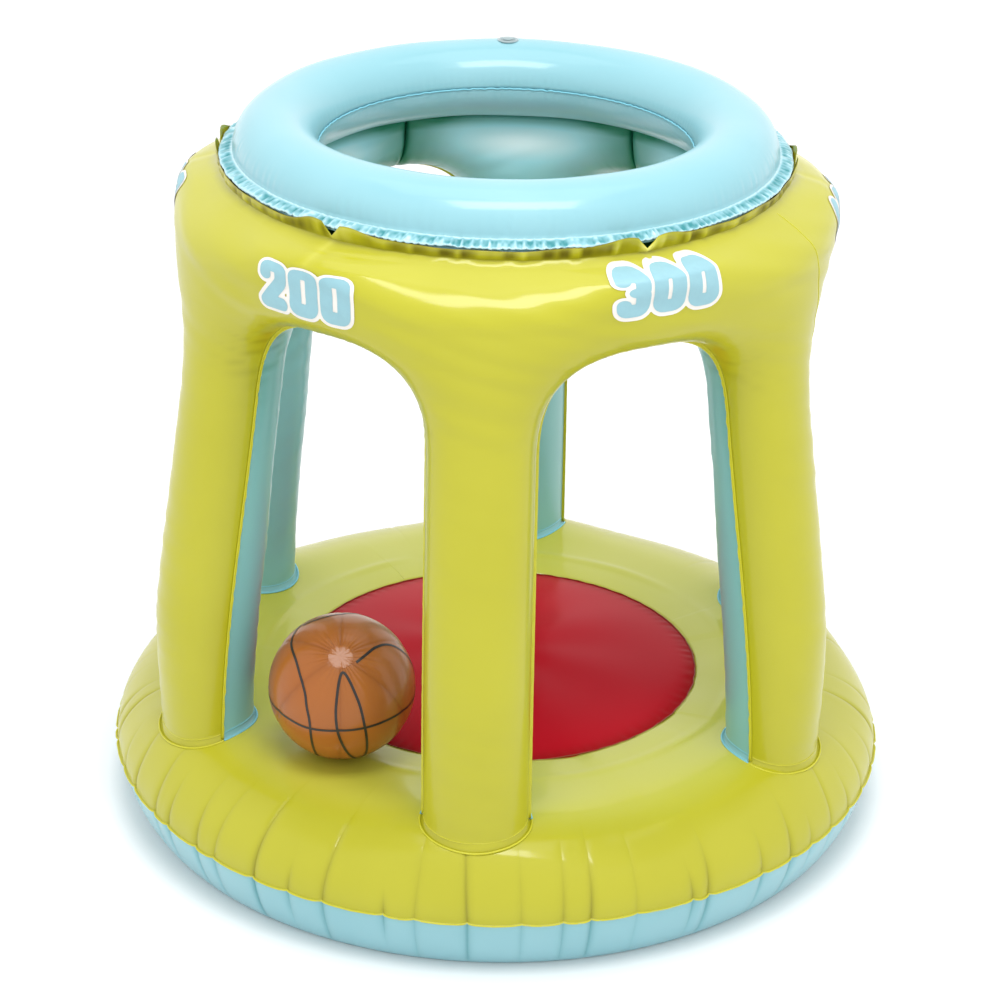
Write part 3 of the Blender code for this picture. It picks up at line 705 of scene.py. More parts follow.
@dataclass
class Tower:
    """Six legs that run up into one crown: the outer skin, the inner skin and all their welds."""

    base: Base
    hoop: "Hoop"
    half_width: float = 0.0562
    stations: tuple[tuple[float, float], ...] = (
        (0.1475, 0.3767),
        (0.3430, 0.3589),
        (0.5486, 0.3292),
        (0.7315, 0.3132),
    )
    spring: float = 0.5578
    arch_top: float = 0.6720
    seam: float = 0.7877
    arch_round: float = 2.65
    swell_more: float = 0.02
    foot_share: float = 0.76
    foot_reach: float = 0.15
    inner_share: float = 1.09
    # How far each leg's film sits off its even place, in degrees at the foot and at the crown
    settle: tuple[tuple[float, float], ...] = (
        (0.9, 0.4), (2.2, 1.8), (0.0, 0.0), (0.0, 0.0), (1.0, 1.4), (0.0, 0.0)
    )
    # How much fuller or slacker the crown is over each bay, in metres
    puffs: tuple[float, ...] = (0.0, 0.002, 0.0, 0.0, -0.004, 0.0)
    # How much higher the crown's shoulder stands over each bay, in metres
    shoulder_lifts: tuple[float, ...] = (0.030, 0.010, 0.006, 0.006, 0.013, 0.026)
    lift_spread: float = 0.23
    weld_margin: float = 0.0034
    # How far the foot's margin reaches out on the base and lies off it, and how far the leg stays off it
    toe_reach: float = 0.0042
    toe_lift: float = 0.0011
    foot_gap: float = 0.0016
    # How far the inner sheet stays off the hoop's side, and over how much of it the sheet eases on
    hoop_gap: float = 0.0012
    hoop_ease: float = 0.004
    shoulder_start: float = 0.7120
    shoulder_end: float = 0.7716
    seam_level: float = 0.7803
    flap: float = 0.0122
    columns: int = 60
    leg_rows: int = 44
    arch_rows: int = 26
    crown_rows: int = 32

    @property
    def half_bay(self) -> float:
        """Half the angle from leg to leg."""
        return math.pi / LEGS

    def middle(self, leg: int) -> float:
        """The azimuth of a leg's middle line, counted from 0."""
        return 2.0 * self.half_bay * leg

    def ring(self, height: Array) -> Array:
        """Radius of the surface that both sheets are welded along."""
        total = np.zeros_like(height)
        for i, (here, radius) in enumerate(self.stations):
            term = np.full_like(height, radius)
            for j, (other, _) in enumerate(self.stations):
                if j != i:
                    term = term * (height - other) / (here - other)
            total = total + term
        return total

    def opening(self, height: Array) -> Array:
        """Half the way from leg to leg at a height."""
        return self.half_bay * self.ring(height) - self.half_width

    def arch_half(self, height: Array) -> Array:
        """Half the arch's width at a height, and 0 above its top."""
        full = self.opening(height)
        rise = np.clip((height - self.spring) / (self.arch_top - self.spring), 0.0, 1.0)
        return full * (1.0 - rise**self.arch_round) ** (1.0 / self.arch_round)

    def from_arch(self, across: Array, height: Array) -> Array:
        """How far a point lies from the edge of the arch whose middle is that far across."""
        full = self.opening(height)
        rise = np.maximum(0.0, (height - self.spring) / (self.arch_top - self.spring))
        reach = (np.abs(across / full) ** self.arch_round + rise**self.arch_round) ** (1.0 / self.arch_round)
        return (reach - 1.0) * full

    def swell(self, side: Side, across: Array, height: Array) -> Array:
        """How far the film stands off the weld surface."""
        half = self.half_bay * self.ring(height)
        left = np.maximum(self.from_arch(half + across, height), 1e-9)
        right = np.maximum(self.from_arch(half - across, height), 1e-9)
        top = np.maximum(self.seam - height, 1e-9)
        low = np.clip((height - self.base.crest_height) / self.foot_reach, 0.0, 1.0)
        share = 1.0 + (self.inner_share - 1.0) * (1.0 - smooth_step(height, 0.36, 0.50))
        crease = 0.0
        if side is Side.INNER:
            # Each inner panel bulges by itself, up to the crease over the middle of the arch
            high = smooth_step(height, self.spring + 0.03, self.arch_top)
            crease = 0.34 * high / (half - np.minimum(np.abs(across), half) + 0.012)
            share = share + 0.16 * high
        if side is Side.OUTER:
            top = self.seam - np.minimum(height, self.shoulder_start)
            top = np.where(top > 0.1177, 1.25 * top, 0.0077 + 0.172 * top + 8.6 * top**2)
            share = (self.foot_share + (1.03 - self.foot_share) * low) * self.shoulder_share(height)
        room = 1.0 / (1.0 / left + 1.0 / right + 1.0 / top + crease)
        rise = smooth_step(height, self.spring, self.arch_top)
        return share * (1.0 + self.swell_more * rise) * np.sqrt(2.0 * self.half_width * room)

    def shoulder_share(self, height: Array) -> Array:
        """How much of the crown's fullness is left at a height: upright, then a tight bend, then a cone."""
        t = np.linspace(0.0, 1.0, 60)
        a, b, c, d = (1.0 - t) ** 3, 3.0 * t * (1.0 - t) ** 2, 3.0 * t**2 * (1.0 - t), t**3
        stand = a + b + 0.66 * c + 0.02 * d
        climb = 0.44 * b + 0.66 * c + d
        span = self.shoulder_end - self.shoulder_start
        return np.interp((height - self.shoulder_start) / span, climb, stand)

    def settled(self, azimuth: Array, height: Array) -> Array:
        """The azimuth that a point of the even tower has once each leg has settled a little to one side."""
        total = np.array(azimuth, dtype=float) + 0.0 * height
        low = np.clip((height - self.base.crest_height) / (self.spring - self.base.crest_height), 0.0, 1.0)
        for leg, (foot, crown) in enumerate(self.settle):
            away = np.clip(np.abs(angle_between(azimuth, self.middle(leg))), 0.0, 2.0 * self.half_bay)
            weight = np.cos(1.5 * away) ** 2
            total = total + np.radians(foot + (crown - foot) * low) * weight
        return total

    def lift(self, azimuth: Array, height: Array) -> Array:
        """How far the crown's shoulder stands above its even height."""
        lift = np.full_like(height + azimuth, -0.001)
        for bay, high in enumerate(self.shoulder_lifts):
            away = angle_between(azimuth, self.middle(bay) + self.half_bay) / self.lift_spread
            lift = lift + high * np.exp(-(away**2))
        into = smooth_step(height, 0.700, 0.745)
        out = smooth_step(height, self.shoulder_end - 0.012, self.shoulder_end)
        return lift * into * (1.0 - out)

    def hoop_side(self, height: Array) -> Array:
        """Radius of the hoop's outer side below its weld, or 0 under the hoop."""
        drop = (self.hoop.centre - height) / self.hoop.half_height
        side = self.hoop.radius + self.hoop.half_width * np.sqrt(np.maximum(0.0, 1.0 - drop**2))
        return np.where(drop < 1.0, side, 0.0)

    def smooth_radius(self, side: Side, across: Array, height: Array) -> Array:
        """Radius of a sheet's outer face without its creases; the hoop presses the inner sheet out."""
        radius = self.ring(height) + side.value * (0.00045 + self.swell(side, across, height))
        if side is Side.INNER:
            # The film eases on to the hoop's side over about 8 mm
            pressed = self.hoop_side(height) + self.hoop_gap
            radius = 0.5 * (radius + pressed + np.sqrt((radius - pressed) ** 2 + self.hoop_ease**2))
        return radius

    def relief(self, side: Side, leg: int, angle: Array, height: Array) -> tuple[Array, Array]:
        """Creases and puckers of one leg's film.

        Args:
            side: Which sheet.
            leg: The leg's number, counted from 0.
            angle: Each point's angle from the leg's middle.
            height: Each point's height.

        Returns:
            How far each point moves away from the weld surface, and its painted light value: painted shade
            and painted highlights.
        """
        azimuth = angle + self.middle(leg)
        ring = self.ring(height)
        from_bay = (self.half_bay - np.abs(angle)) * ring
        under_seam = np.maximum(0.0, self.seam - height)
        over_arch = self.from_arch(from_bay, height)
        # Puckers stand under the seam all round, and a pinched groove under each notch of the flap
        pucker = ring_noise(azimuth, 60, 150, 51) * hump(under_seam, 0.016)
        groove = np.exp(-np.abs(from_bay) / 0.0045) * hump(under_seam, 0.034)
        lips = hump(from_bay, 0.007, 0.013) * hump(under_seam, 0.045)
        # Short pleats run square to the arch's weld, where its curve leaves the film too long
        curved = smooth_step(height, self.spring - 0.03, self.spring + 0.05)
        turn = np.arctan2(height - self.spring, from_bay)
        after = ring_noise(turn, 34, 96, 52 + leg % LEGS)
        before = ring_noise(math.pi - turn, 34, 96, 52 + (leg - 1) % LEGS)
        pleat = np.where(angle >= 0.0, after, before) * np.exp(-np.abs(over_arch) / 0.010) * curved
        calm = ring_noise(azimuth + height * 9.0, 6, 30, 53) * smooth_step(over_arch, 0.004, 0.03)
        shift = 0.0010 * pucker - 0.0030 * groove + 0.0010 * lips + 0.0008 * pleat + 0.0006 * calm
        before_puff, after_puff = self.puffs[(leg - 1) % LEGS], self.puffs[leg % LEGS]
        level = hump(height, 0.040, 0.722)
        puff = np.where(angle >= 0.0, after_puff, before_puff)
        shift = shift + puff * hump(from_bay, 0.085) * level
        # Painted shade in the grooves under the notches and in the pleats' dips, and a painted highlight down
        # the middle of each notch
        painted_notch_highlight = hump(from_bay, 0.0045) * hump(under_seam, 0.030)
        painted_light_and_tone = 0.25 * groove + 0.22 * np.maximum(0.0, -pleat) - 0.6 * painted_notch_highlight
        if side is Side.INNER:
            # The inner sheet is drawn into a hard crease at the middle of each bay
            over_top = smooth_step(height, self.arch_top - 0.01, self.arch_top + 0.02)
            hard = np.exp(-np.abs(from_bay) / 0.0035) * over_top
            fan = ring_noise(azimuth, 60, 150, 61) * np.exp(-from_bay / 0.03)
            fan = fan * hump(height, 0.05, self.arch_top)
            shift = 0.0006 * calm + 0.0008 * pleat - 0.003 * hard + 0.0012 * fan
            # Painted shade in the pleats' dips and in the hard crease
            painted_light_and_tone = 0.22 * np.maximum(0.0, -pleat) + 0.5 * hard
        return shift, painted_light_and_tone

    def film(self, side: Side, leg: int, angle: Array, height: Array) -> tuple[Array, Array]:
        """Radius of a sheet with its creases, and its painted light value, at angles from a leg's middle."""
        across = angle * self.ring(height)
        level = height
        if side is Side.OUTER:
            level = height - self.lift(angle + self.middle(leg), height)
        radius = self.smooth_radius(side, across, level)
        shift, painted_light_and_tone = self.relief(side, leg, angle, height)
        free = smooth_step(self.swell(side, across, height), 0.0, 0.010)
        if side is Side.INNER:
            free = free * smooth_step(radius - self.hoop_side(height), 0.002, 0.007)
        return radius + side.value * shift * free, painted_light_and_tone

    def outside(self, bay: int, turn: Array, height: Array) -> Array:
        """Radius of the outer skin at angles from the middle of the bay after a leg."""
        before, _ = self.film(Side.OUTER, bay, self.half_bay + turn, height)
        after, _ = self.film(Side.OUTER, bay + 1, turn - self.half_bay, height)
        return np.where(turn < 0.0, before, after)

    def column_angle(self, turn: Array, height: Array) -> Array:
        """A column's angle from the leg's middle; the columns bunch up where the film turns fast."""
        ring = self.ring(height)
        half = self.half_bay * ring - np.where(height >= self.arch_top, 0.0, self.arch_half(height))
        even = np.clip((height - self.arch_top) / (0.6 * (self.seam - self.arch_top)), 0.0, 1.0)
        across = half * ((1.0 - even) * np.sin(turn) + even * turn / (0.5 * math.pi))
        return np.clip(across / ring, -self.half_bay, self.half_bay)

    def arch_heights(self) -> Array:
        """Heights of the rows from the spring of the arch to just under its top."""
        turn = np.linspace(0.0, 0.5 * math.pi, self.arch_rows, endpoint=False)
        return self.spring + (self.arch_top - self.spring) * np.sin(turn) ** (2.0 / self.arch_round)

    def foot(self, side: Side, turn: Array) -> tuple[Array, Array, Array]:
        """Where each column meets the base: radius, angle from the leg's middle, and height."""
        height = np.full_like(turn, self.base.crest_height)
        for _ in range(8):
            angle = self.column_angle(turn, height)
            radius = self.smooth_radius(side, angle * self.ring(height), height)
            height = self.base.top_height(radius, angle) + self.foot_gap
        return radius, angle, height

    def wall(self, side: Side, leg: int, turns: Array, top: float) -> tuple[Array, ...]:
        """One leg's rows from its foot up to a height.

        Args:
            side: Which sheet.
            leg: The leg's number, counted from 0.
            turns: Each column's place, from -pi/2 to pi/2.
            top: The last row's height.

        Returns:
            Radius, azimuth, height and painted light value, each rows by columns.
        """
        _, _, feet = self.foot(side, turns)
        share = np.linspace(0.0, 1.0, self.leg_rows, endpoint=False)[:, None]
        shin = feet[None, :] + (self.spring - feet[None, :]) * share
        bend = 1.0 - np.cos(np.linspace(0.0, 0.5 * math.pi, self.crown_rows))
        upper = np.concatenate([self.arch_heights(), self.arch_top + (top - self.arch_top) * bend])
        height = np.concatenate([shin, np.repeat(upper[:, None], len(turns), axis=1)])
        angle = self.column_angle(turns[None, :], height)
        radius, painted_light_and_tone = self.film(side, leg, angle, height)
        return radius, angle + self.middle(leg), height, painted_light_and_tone

    def toe(self, radius: Array, azimuth: Array, leg: int, reach: float) -> Array:
        """Points on the base a little outside a foot's outline, for its welded margin."""
        foot = polar_points(radius, azimuth, radius * 0.0)
        middle = self.ring(np.array(self.base.crest_height))
        away = foot - polar_points(middle, np.array(self.middle(leg)), np.array(0.0))
        toe = foot + away / np.linalg.norm(away, axis=-1, keepdims=True) * reach
        azimuths = np.arctan2(toe[:, 0], -toe[:, 1])
        toe[:, 2] = self.base.top_height(np.hypot(toe[:, 0], toe[:, 1]), azimuths) + self.toe_lift
        return toe

    def flap_rows(self, leg: int, azimuth: Array) -> tuple[Array, Array]:
        """The loose flap of both sheets' margin, which stands up from the top seam round the flange.

        Args:
            leg: The leg's number, counted from 0.
            azimuth: The azimuths of the columns.

        Returns:
            The rows' points and their painted light values.
        """
        angle = azimuth - self.middle(leg)
        ring = self.ring(np.full_like(angle, self.seam_level))
        rows, painted_light_rows = [], []
        from_bay = (self.half_bay - np.abs(angle)) * 0.33
        notch = np.clip(1.0 - from_bay / 0.011, 0.0, 1.0)
        over = hump(from_bay, 0.024, 0.022)
        crease = crumple(azimuth, 26, 90, 72) - 0.5
        fine = crumple(azimuth, 90, 200, 73) - 0.5
        tall = self.flap + 0.0090 * over + 0.0014 * ring_noise(azimuth, 8, 30, 71)
        tall = tall * (1.0 - 0.62 * notch)
        lean = 0.0034 + 0.0046 * over
        for share in np.linspace(0.0, 1.0, 12)[1:]:
            middle = math.sin(math.pi * share) ** 0.7
            out = lean * share + (0.0022 + 0.0028 * crease + 0.0010 * fine) * middle
            level = self.shoulder_end + tall * share
            rows.append(polar_points(ring + 0.0006 + out, azimuth, level))
            # Painted light on the flap: olive painted shade under the flange, light and dark painted patches
            # along the crumples, lighter at the notches and where the flap stands out, and a dark painted
            # line along the rim
            edge = 0.6 if share > 0.95 else 0.0
            crushed = 0.30 - 0.95 * crease * middle - 0.40 * fine * middle
            painted_light_rows.append(crushed - 0.9 * notch - 0.3 * over + edge)
        return np.array(rows), np.clip(np.array(painted_light_rows), -1.0, 1.0)

    def outer_skin(self) -> Mesh:
        """The whole yellow skin: six legs, the crown, and the flap that stands out from the top seam."""
        turns = np.linspace(-0.5 * math.pi, 0.5 * math.pi, self.columns + 1)
        parts = []
        for leg in range(LEGS):
            radius, azimuth, height, painted_light_and_tone = self.wall(Side.OUTER, leg, turns, self.shoulder_end)
            toe = self.toe(radius[0], azimuth[0], leg, self.toe_reach)
            top, top_painted_light = self.flap_rows(leg, azimuth[-1])
            points = np.concatenate([toe[None], polar_points(radius, azimuth, height), top])
            points = self.settle_points(points)
            painted_light_and_tone = np.concatenate([np.zeros((1, len(turns))), painted_light_and_tone, top_painted_light])
            parts.append(grid_mesh(f"outer_{leg}", points, painted_light_and_tone=painted_light_and_tone))
        mesh = join_meshes("tower_outer_skin", parts)
        weld_points(mesh)
        return mesh

    def inner_skin(self, leg: int) -> Mesh:
        """One leg's light blue panel, from its foot to its margin under the hoop's flange."""
        turns = np.linspace(-0.5 * math.pi, 0.5 * math.pi, self.columns + 1)
        top = self.seam_level + 0.0012
        radius, azimuth, height, painted_light_and_tone = self.wall(Side.INNER, leg, turns, top)
        toe = self.toe(radius[0], azimuth[0], leg, self.toe_reach)
        ring = self.ring(np.full_like(radius[-1], self.seam))
        rim = []
        for share, lift in ((0.25, 0.0022), (0.5, 0.0024), (0.75, 0.0012), (1.0, -0.0002)):
            rim.append(polar_points(radius[-1] + (ring - radius[-1]) * share, azimuth[-1], top + lift))
        # Painted light on the blue sheet: a greenish painted backlight, where light would shine through the
        # yellow sheet behind it; painted shade towards the bays and in the hoop's shadow; darker below the
        # arches; and a painted highlight on the lit bulge under the hoop at each leg's middle
        painted_backlight = smooth_step(height, self.spring - 0.12, self.arch_top)
        painted_backlight = painted_backlight * (1.0 - smooth_step(height, self.arch_top - 0.01, self.arch_top + 0.03))
        from_bay = (self.half_bay - np.abs(azimuth - self.middle(leg))) * 0.26
        deep = hump(from_bay, 0.050) * smooth_step(height, self.spring, self.arch_top)
        painted_hoop_shadow = smooth_step(height, 0.728, 0.742)
        below = 0.36 * (1.0 - smooth_step(height, self.spring, self.arch_top))
        painted_highlight = hump(from_bay, 0.060, 0.135) * hump(height, 0.016, 0.712)
        painted_light_and_tone = painted_light_and_tone + 0.25 * painted_backlight + 0.75 * deep + 0.70 * painted_hoop_shadow + below - 0.9 * painted_highlight
        points = np.concatenate([toe[None], polar_points(radius, azimuth, height), np.array(rim)])
        points = self.settle_points(points)
        painted_light_and_tone = np.concatenate([np.zeros((1, len(turns))), painted_light_and_tone, np.zeros((len(rim), len(turns)))])
        return grid_mesh(f"tower_inner_skin_{leg + 1}", points, flip=True, painted_light_and_tone=painted_light_and_tone)

    def settle_points(self, points: Array) -> Array:
        """Moves points of the even tower round to where the legs have settled."""
        azimuth = np.arctan2(points[..., 0], -points[..., 1])
        radius = np.hypot(points[..., 0], points[..., 1])
        return polar_points(radius, self.settled(azimuth, points[..., 2]), points[..., 2])

    def arch_line(self, leg: int, inset: float) -> Array:
        """The arch's outline after a leg, from foot to foot, some way in from its weld."""
        foot = self.foot(Side.OUTER, np.array([0.5 * math.pi]))[2][0]
        up = np.linspace(foot, self.spring, 60, endpoint=False)
        straight = self.opening(up) - inset
        turn = np.linspace(0.0, math.pi, 121)
        power = 2.0 / self.arch_round
        rise = np.sin(turn).clip(0.0) ** power
        height = self.spring + (self.arch_top - self.spring - inset) * rise
        full = self.opening(height) - inset
        level = np.concatenate([up, height, up[::-1]])
        over = -full * np.sign(np.cos(turn)) * np.abs(np.cos(turn)) ** power
        across = np.concatenate([-straight, over, straight[::-1]])
        azimuth = self.middle(leg) + self.half_bay + across / self.ring(level)
        return polar_points(self.ring(level), self.settled(azimuth, level), level)

    def arch_margin(self, leg: int) -> Mesh:
        """The flat strip of both films that stands into an arch, outside its weld."""
        rows = [self.arch_line(leg, inset) for inset in np.linspace(0.0002, self.weld_margin, 4)]
        points = np.array(rows)
        steps = even_angles(points.shape[1])
        out = points[:, :, :2] / np.linalg.norm(points[:, :, :2], axis=-1, keepdims=True)
        wave = 0.0006 * ring_noise(steps, 40, 110, 57 + leg)[None, :] * np.linspace(0.0, 1.0, 4)[:, None]
        points[:, :, :2] += out * wave[:, :, None]
        return grid_mesh(f"arch_margin_{leg + 1}", points, flip=True)

    def foot_lines(self, side: Side, reach: float, lift: float) -> list[Array]:
        """Lines round each foot, one half for each sheet.

        Args:
            side: Which sheet's half.
            reach: How far out on the base the line lies.
            lift: How far up the leg it lies instead, where it is more than 0.
        """
        turns = np.linspace(-0.5 * math.pi, 0.5 * math.pi, 81)
        paths = []
        for leg in range(LEGS):
            radius, angle, height = self.foot(side, turns)
            if lift:
                level = height + lift
                radius, _ = self.film(side, leg, angle, level)
                line = polar_points(radius + side.value * 0.0001, angle + self.middle(leg), level)
            else:
                line = self.toe(radius, angle + self.middle(leg), leg, reach)
            paths.append(self.settle_points(line))
        return paths

    def lap_line(self) -> list[Array]:
        """The lap weld that closes the yellow sheet, down the right leg's outer side."""
        height = np.linspace(self.shoulder_end - 0.004, 0.190, 110)
        across = 0.030 + 0.006 * np.sin((height - 0.2) * 5.0)
        angle = across / self.ring(height)
        radius, _ = self.film(Side.OUTER, 1, angle, height)
        return [self.settle_points(polar_points(radius + 0.0001, angle + self.middle(1), height))]

    def build(self, finishes: Finishes, beads: BeadMaker, valve: "AirValve") -> None:
        """Makes and dresses the tower's pieces."""
        outer = tuple(f"outer_leg_sheet_{leg + 1}" for leg in range(LEGS))
        skin = self.outer_skin()
        valve.open_film(skin)
        piece(skin, finishes.yellow, nodes=outer, thickness=FILM)
        for leg in range(LEGS):
            skin = self.inner_skin(leg)
            nodes = (f"inner_leg_sheet_{leg + 1}",)
            piece(skin, finishes.inner_blue, nodes=nodes, thickness=FILM)
            margin = self.arch_margin(leg)
            piece(margin, finishes.yellow_weld, thickness=FILM)
        arches = [self.arch_line(leg, 0.0) for leg in range(LEGS)]
        beads.run("arch_welds", arches, 0.0009, finishes.yellow_weld, Slot.YELLOW)
        for side, word, finish, slot in (
            (Side.OUTER, "outer", finishes.yellow_weld, Slot.YELLOW),
            (Side.INNER, "inner", finishes.blue_weld, Slot.BLUE),
        ):
            beads.run(f"foot_welds_{word}", self.foot_lines(side, self.toe_reach, 0.0), 0.0012, finish, slot)
            beads.run(f"foot_lines_{word}", self.foot_lines(side, 0.0, 0.006), 0.0005, finish, slot)
        beads.run("lap_weld", self.lap_line(), 0.0005, finishes.yellow_weld, Slot.YELLOW)


@dataclass
class Hoop:
    """The light blue ring: two skins, the crushed flange outside them and the fine weld inside."""

    radius: float = 0.2551
    half_width: float = 0.0465
    half_height: float = 0.0443
    centre: float = 0.7907
    flange: float = 0.0152
    droop: float = 0.0050
    turn_steps: int = 900
    arc_steps: int = 34
    flange_steps: int = 12

    def skin(self, name: str, sign: int, lift: float) -> Mesh:
        """One of the ring's two skins, its flange included.

        Args:
            name: The mesh's name.
            sign: 1 for the upper skin, -1 for the lower one.
            lift: How far it lies over the weld line.
        """
        angles = even_angles(self.turn_steps)
        turn = np.linspace(0.0, math.pi, self.arc_steps)
        r = self.radius + self.half_width * np.cos(turn)
        z = sign * self.half_height * np.sin(turn)
        near_out = hump(turn, 0.35)[:, None]
        near_in = hump(turn, 0.22, math.pi)[:, None]
        pucker = 0.0009 * near_out * ring_noise(angles, 90, 200, 81)[None, :]
        inner = 0.0005 * near_in * ring_noise(angles, 80, 180, 82)[None, :]
        calm = 0.0004 * ring_noise(angles, 4, 16, 83)[None, :]
        side = np.sin(turn)[:, None] ** 0.5
        r = r[:, None] + (pucker + inner + calm) * np.cos(turn)[:, None] * side
        z = z[:, None] + (pucker + inner + calm) * sign * side
        share = np.linspace(1.0, 0.0, self.flange_steps, endpoint=False)[:, None]
        crease = crumple(angles, 40, 130, 84)[None, :] - 0.5
        crush = crumple(angles, 130, 300, 85)[None, :] - 0.5
        slant = crumple(angles, 60, 160, 87)[None, :] - 0.5
        width = self.flange + 0.0009 * ring_noise(angles, 14, 60, 86)[None, :]
        out = self.radius + self.half_width + width * share
        between = np.sin(math.pi * share) ** 0.7
        crushed = between * (0.0030 * crease + 0.0012 * crush)
        drop = -self.droop * share**1.3 + crushed + 0.0014 * share * slant
        r, z = np.concatenate([out, r]), np.concatenate([drop, z])
        # Painted highlights along the flange's outer edge and beside the tube, and painted shade and
        # highlight in patches along its crinkles
        line = hump(share, 0.16, 1.0) + hump(share, 0.12, 0.08)
        patch = 0.26 - 1.0 * crease - 0.6 * crush + 0.8 * slant * np.cos(9.0 * share)
        painted_light_and_tone = -0.55 * line + (1.0 - line.clip(0.0, 1.0)) * patch
        painted_light_and_tone = np.concatenate([painted_light_and_tone, np.zeros((len(turn), len(angles)))])
        points = polar_points(r, angles[None, :], z + self.centre + lift)
        return grid_mesh(name, points, wrap=True, flip=sign < 0, painted_light_and_tone=painted_light_and_tone)

    def build(self, finishes: Finishes, beads: BeadMaker, valve: "AirValve") -> None:
        """Makes and dresses the hoop's pieces."""
        upper = self.skin("hoop_upper_skin", 1, 0.0006)
        lower = self.skin("hoop_lower_skin", -1, -0.0003)
        valve.open_film(upper)
        for mesh, node in ((upper, "hoop_upper_sheet"), (lower, "hoop_lower_sheet")):
            piece(mesh, finishes.blue, nodes=(node,), thickness=FILM)
        angles = even_angles(600)
        wobble = 0.0003 * ring_noise(angles, 60, 160, 82)
        inside = polar_points(self.radius - self.half_width - 0.0006 + wobble, angles, self.centre + wobble)
        beads.run("hoop_inner_weld", [inside], 0.0009, finishes.blue_weld, Slot.BLUE, closed=True)


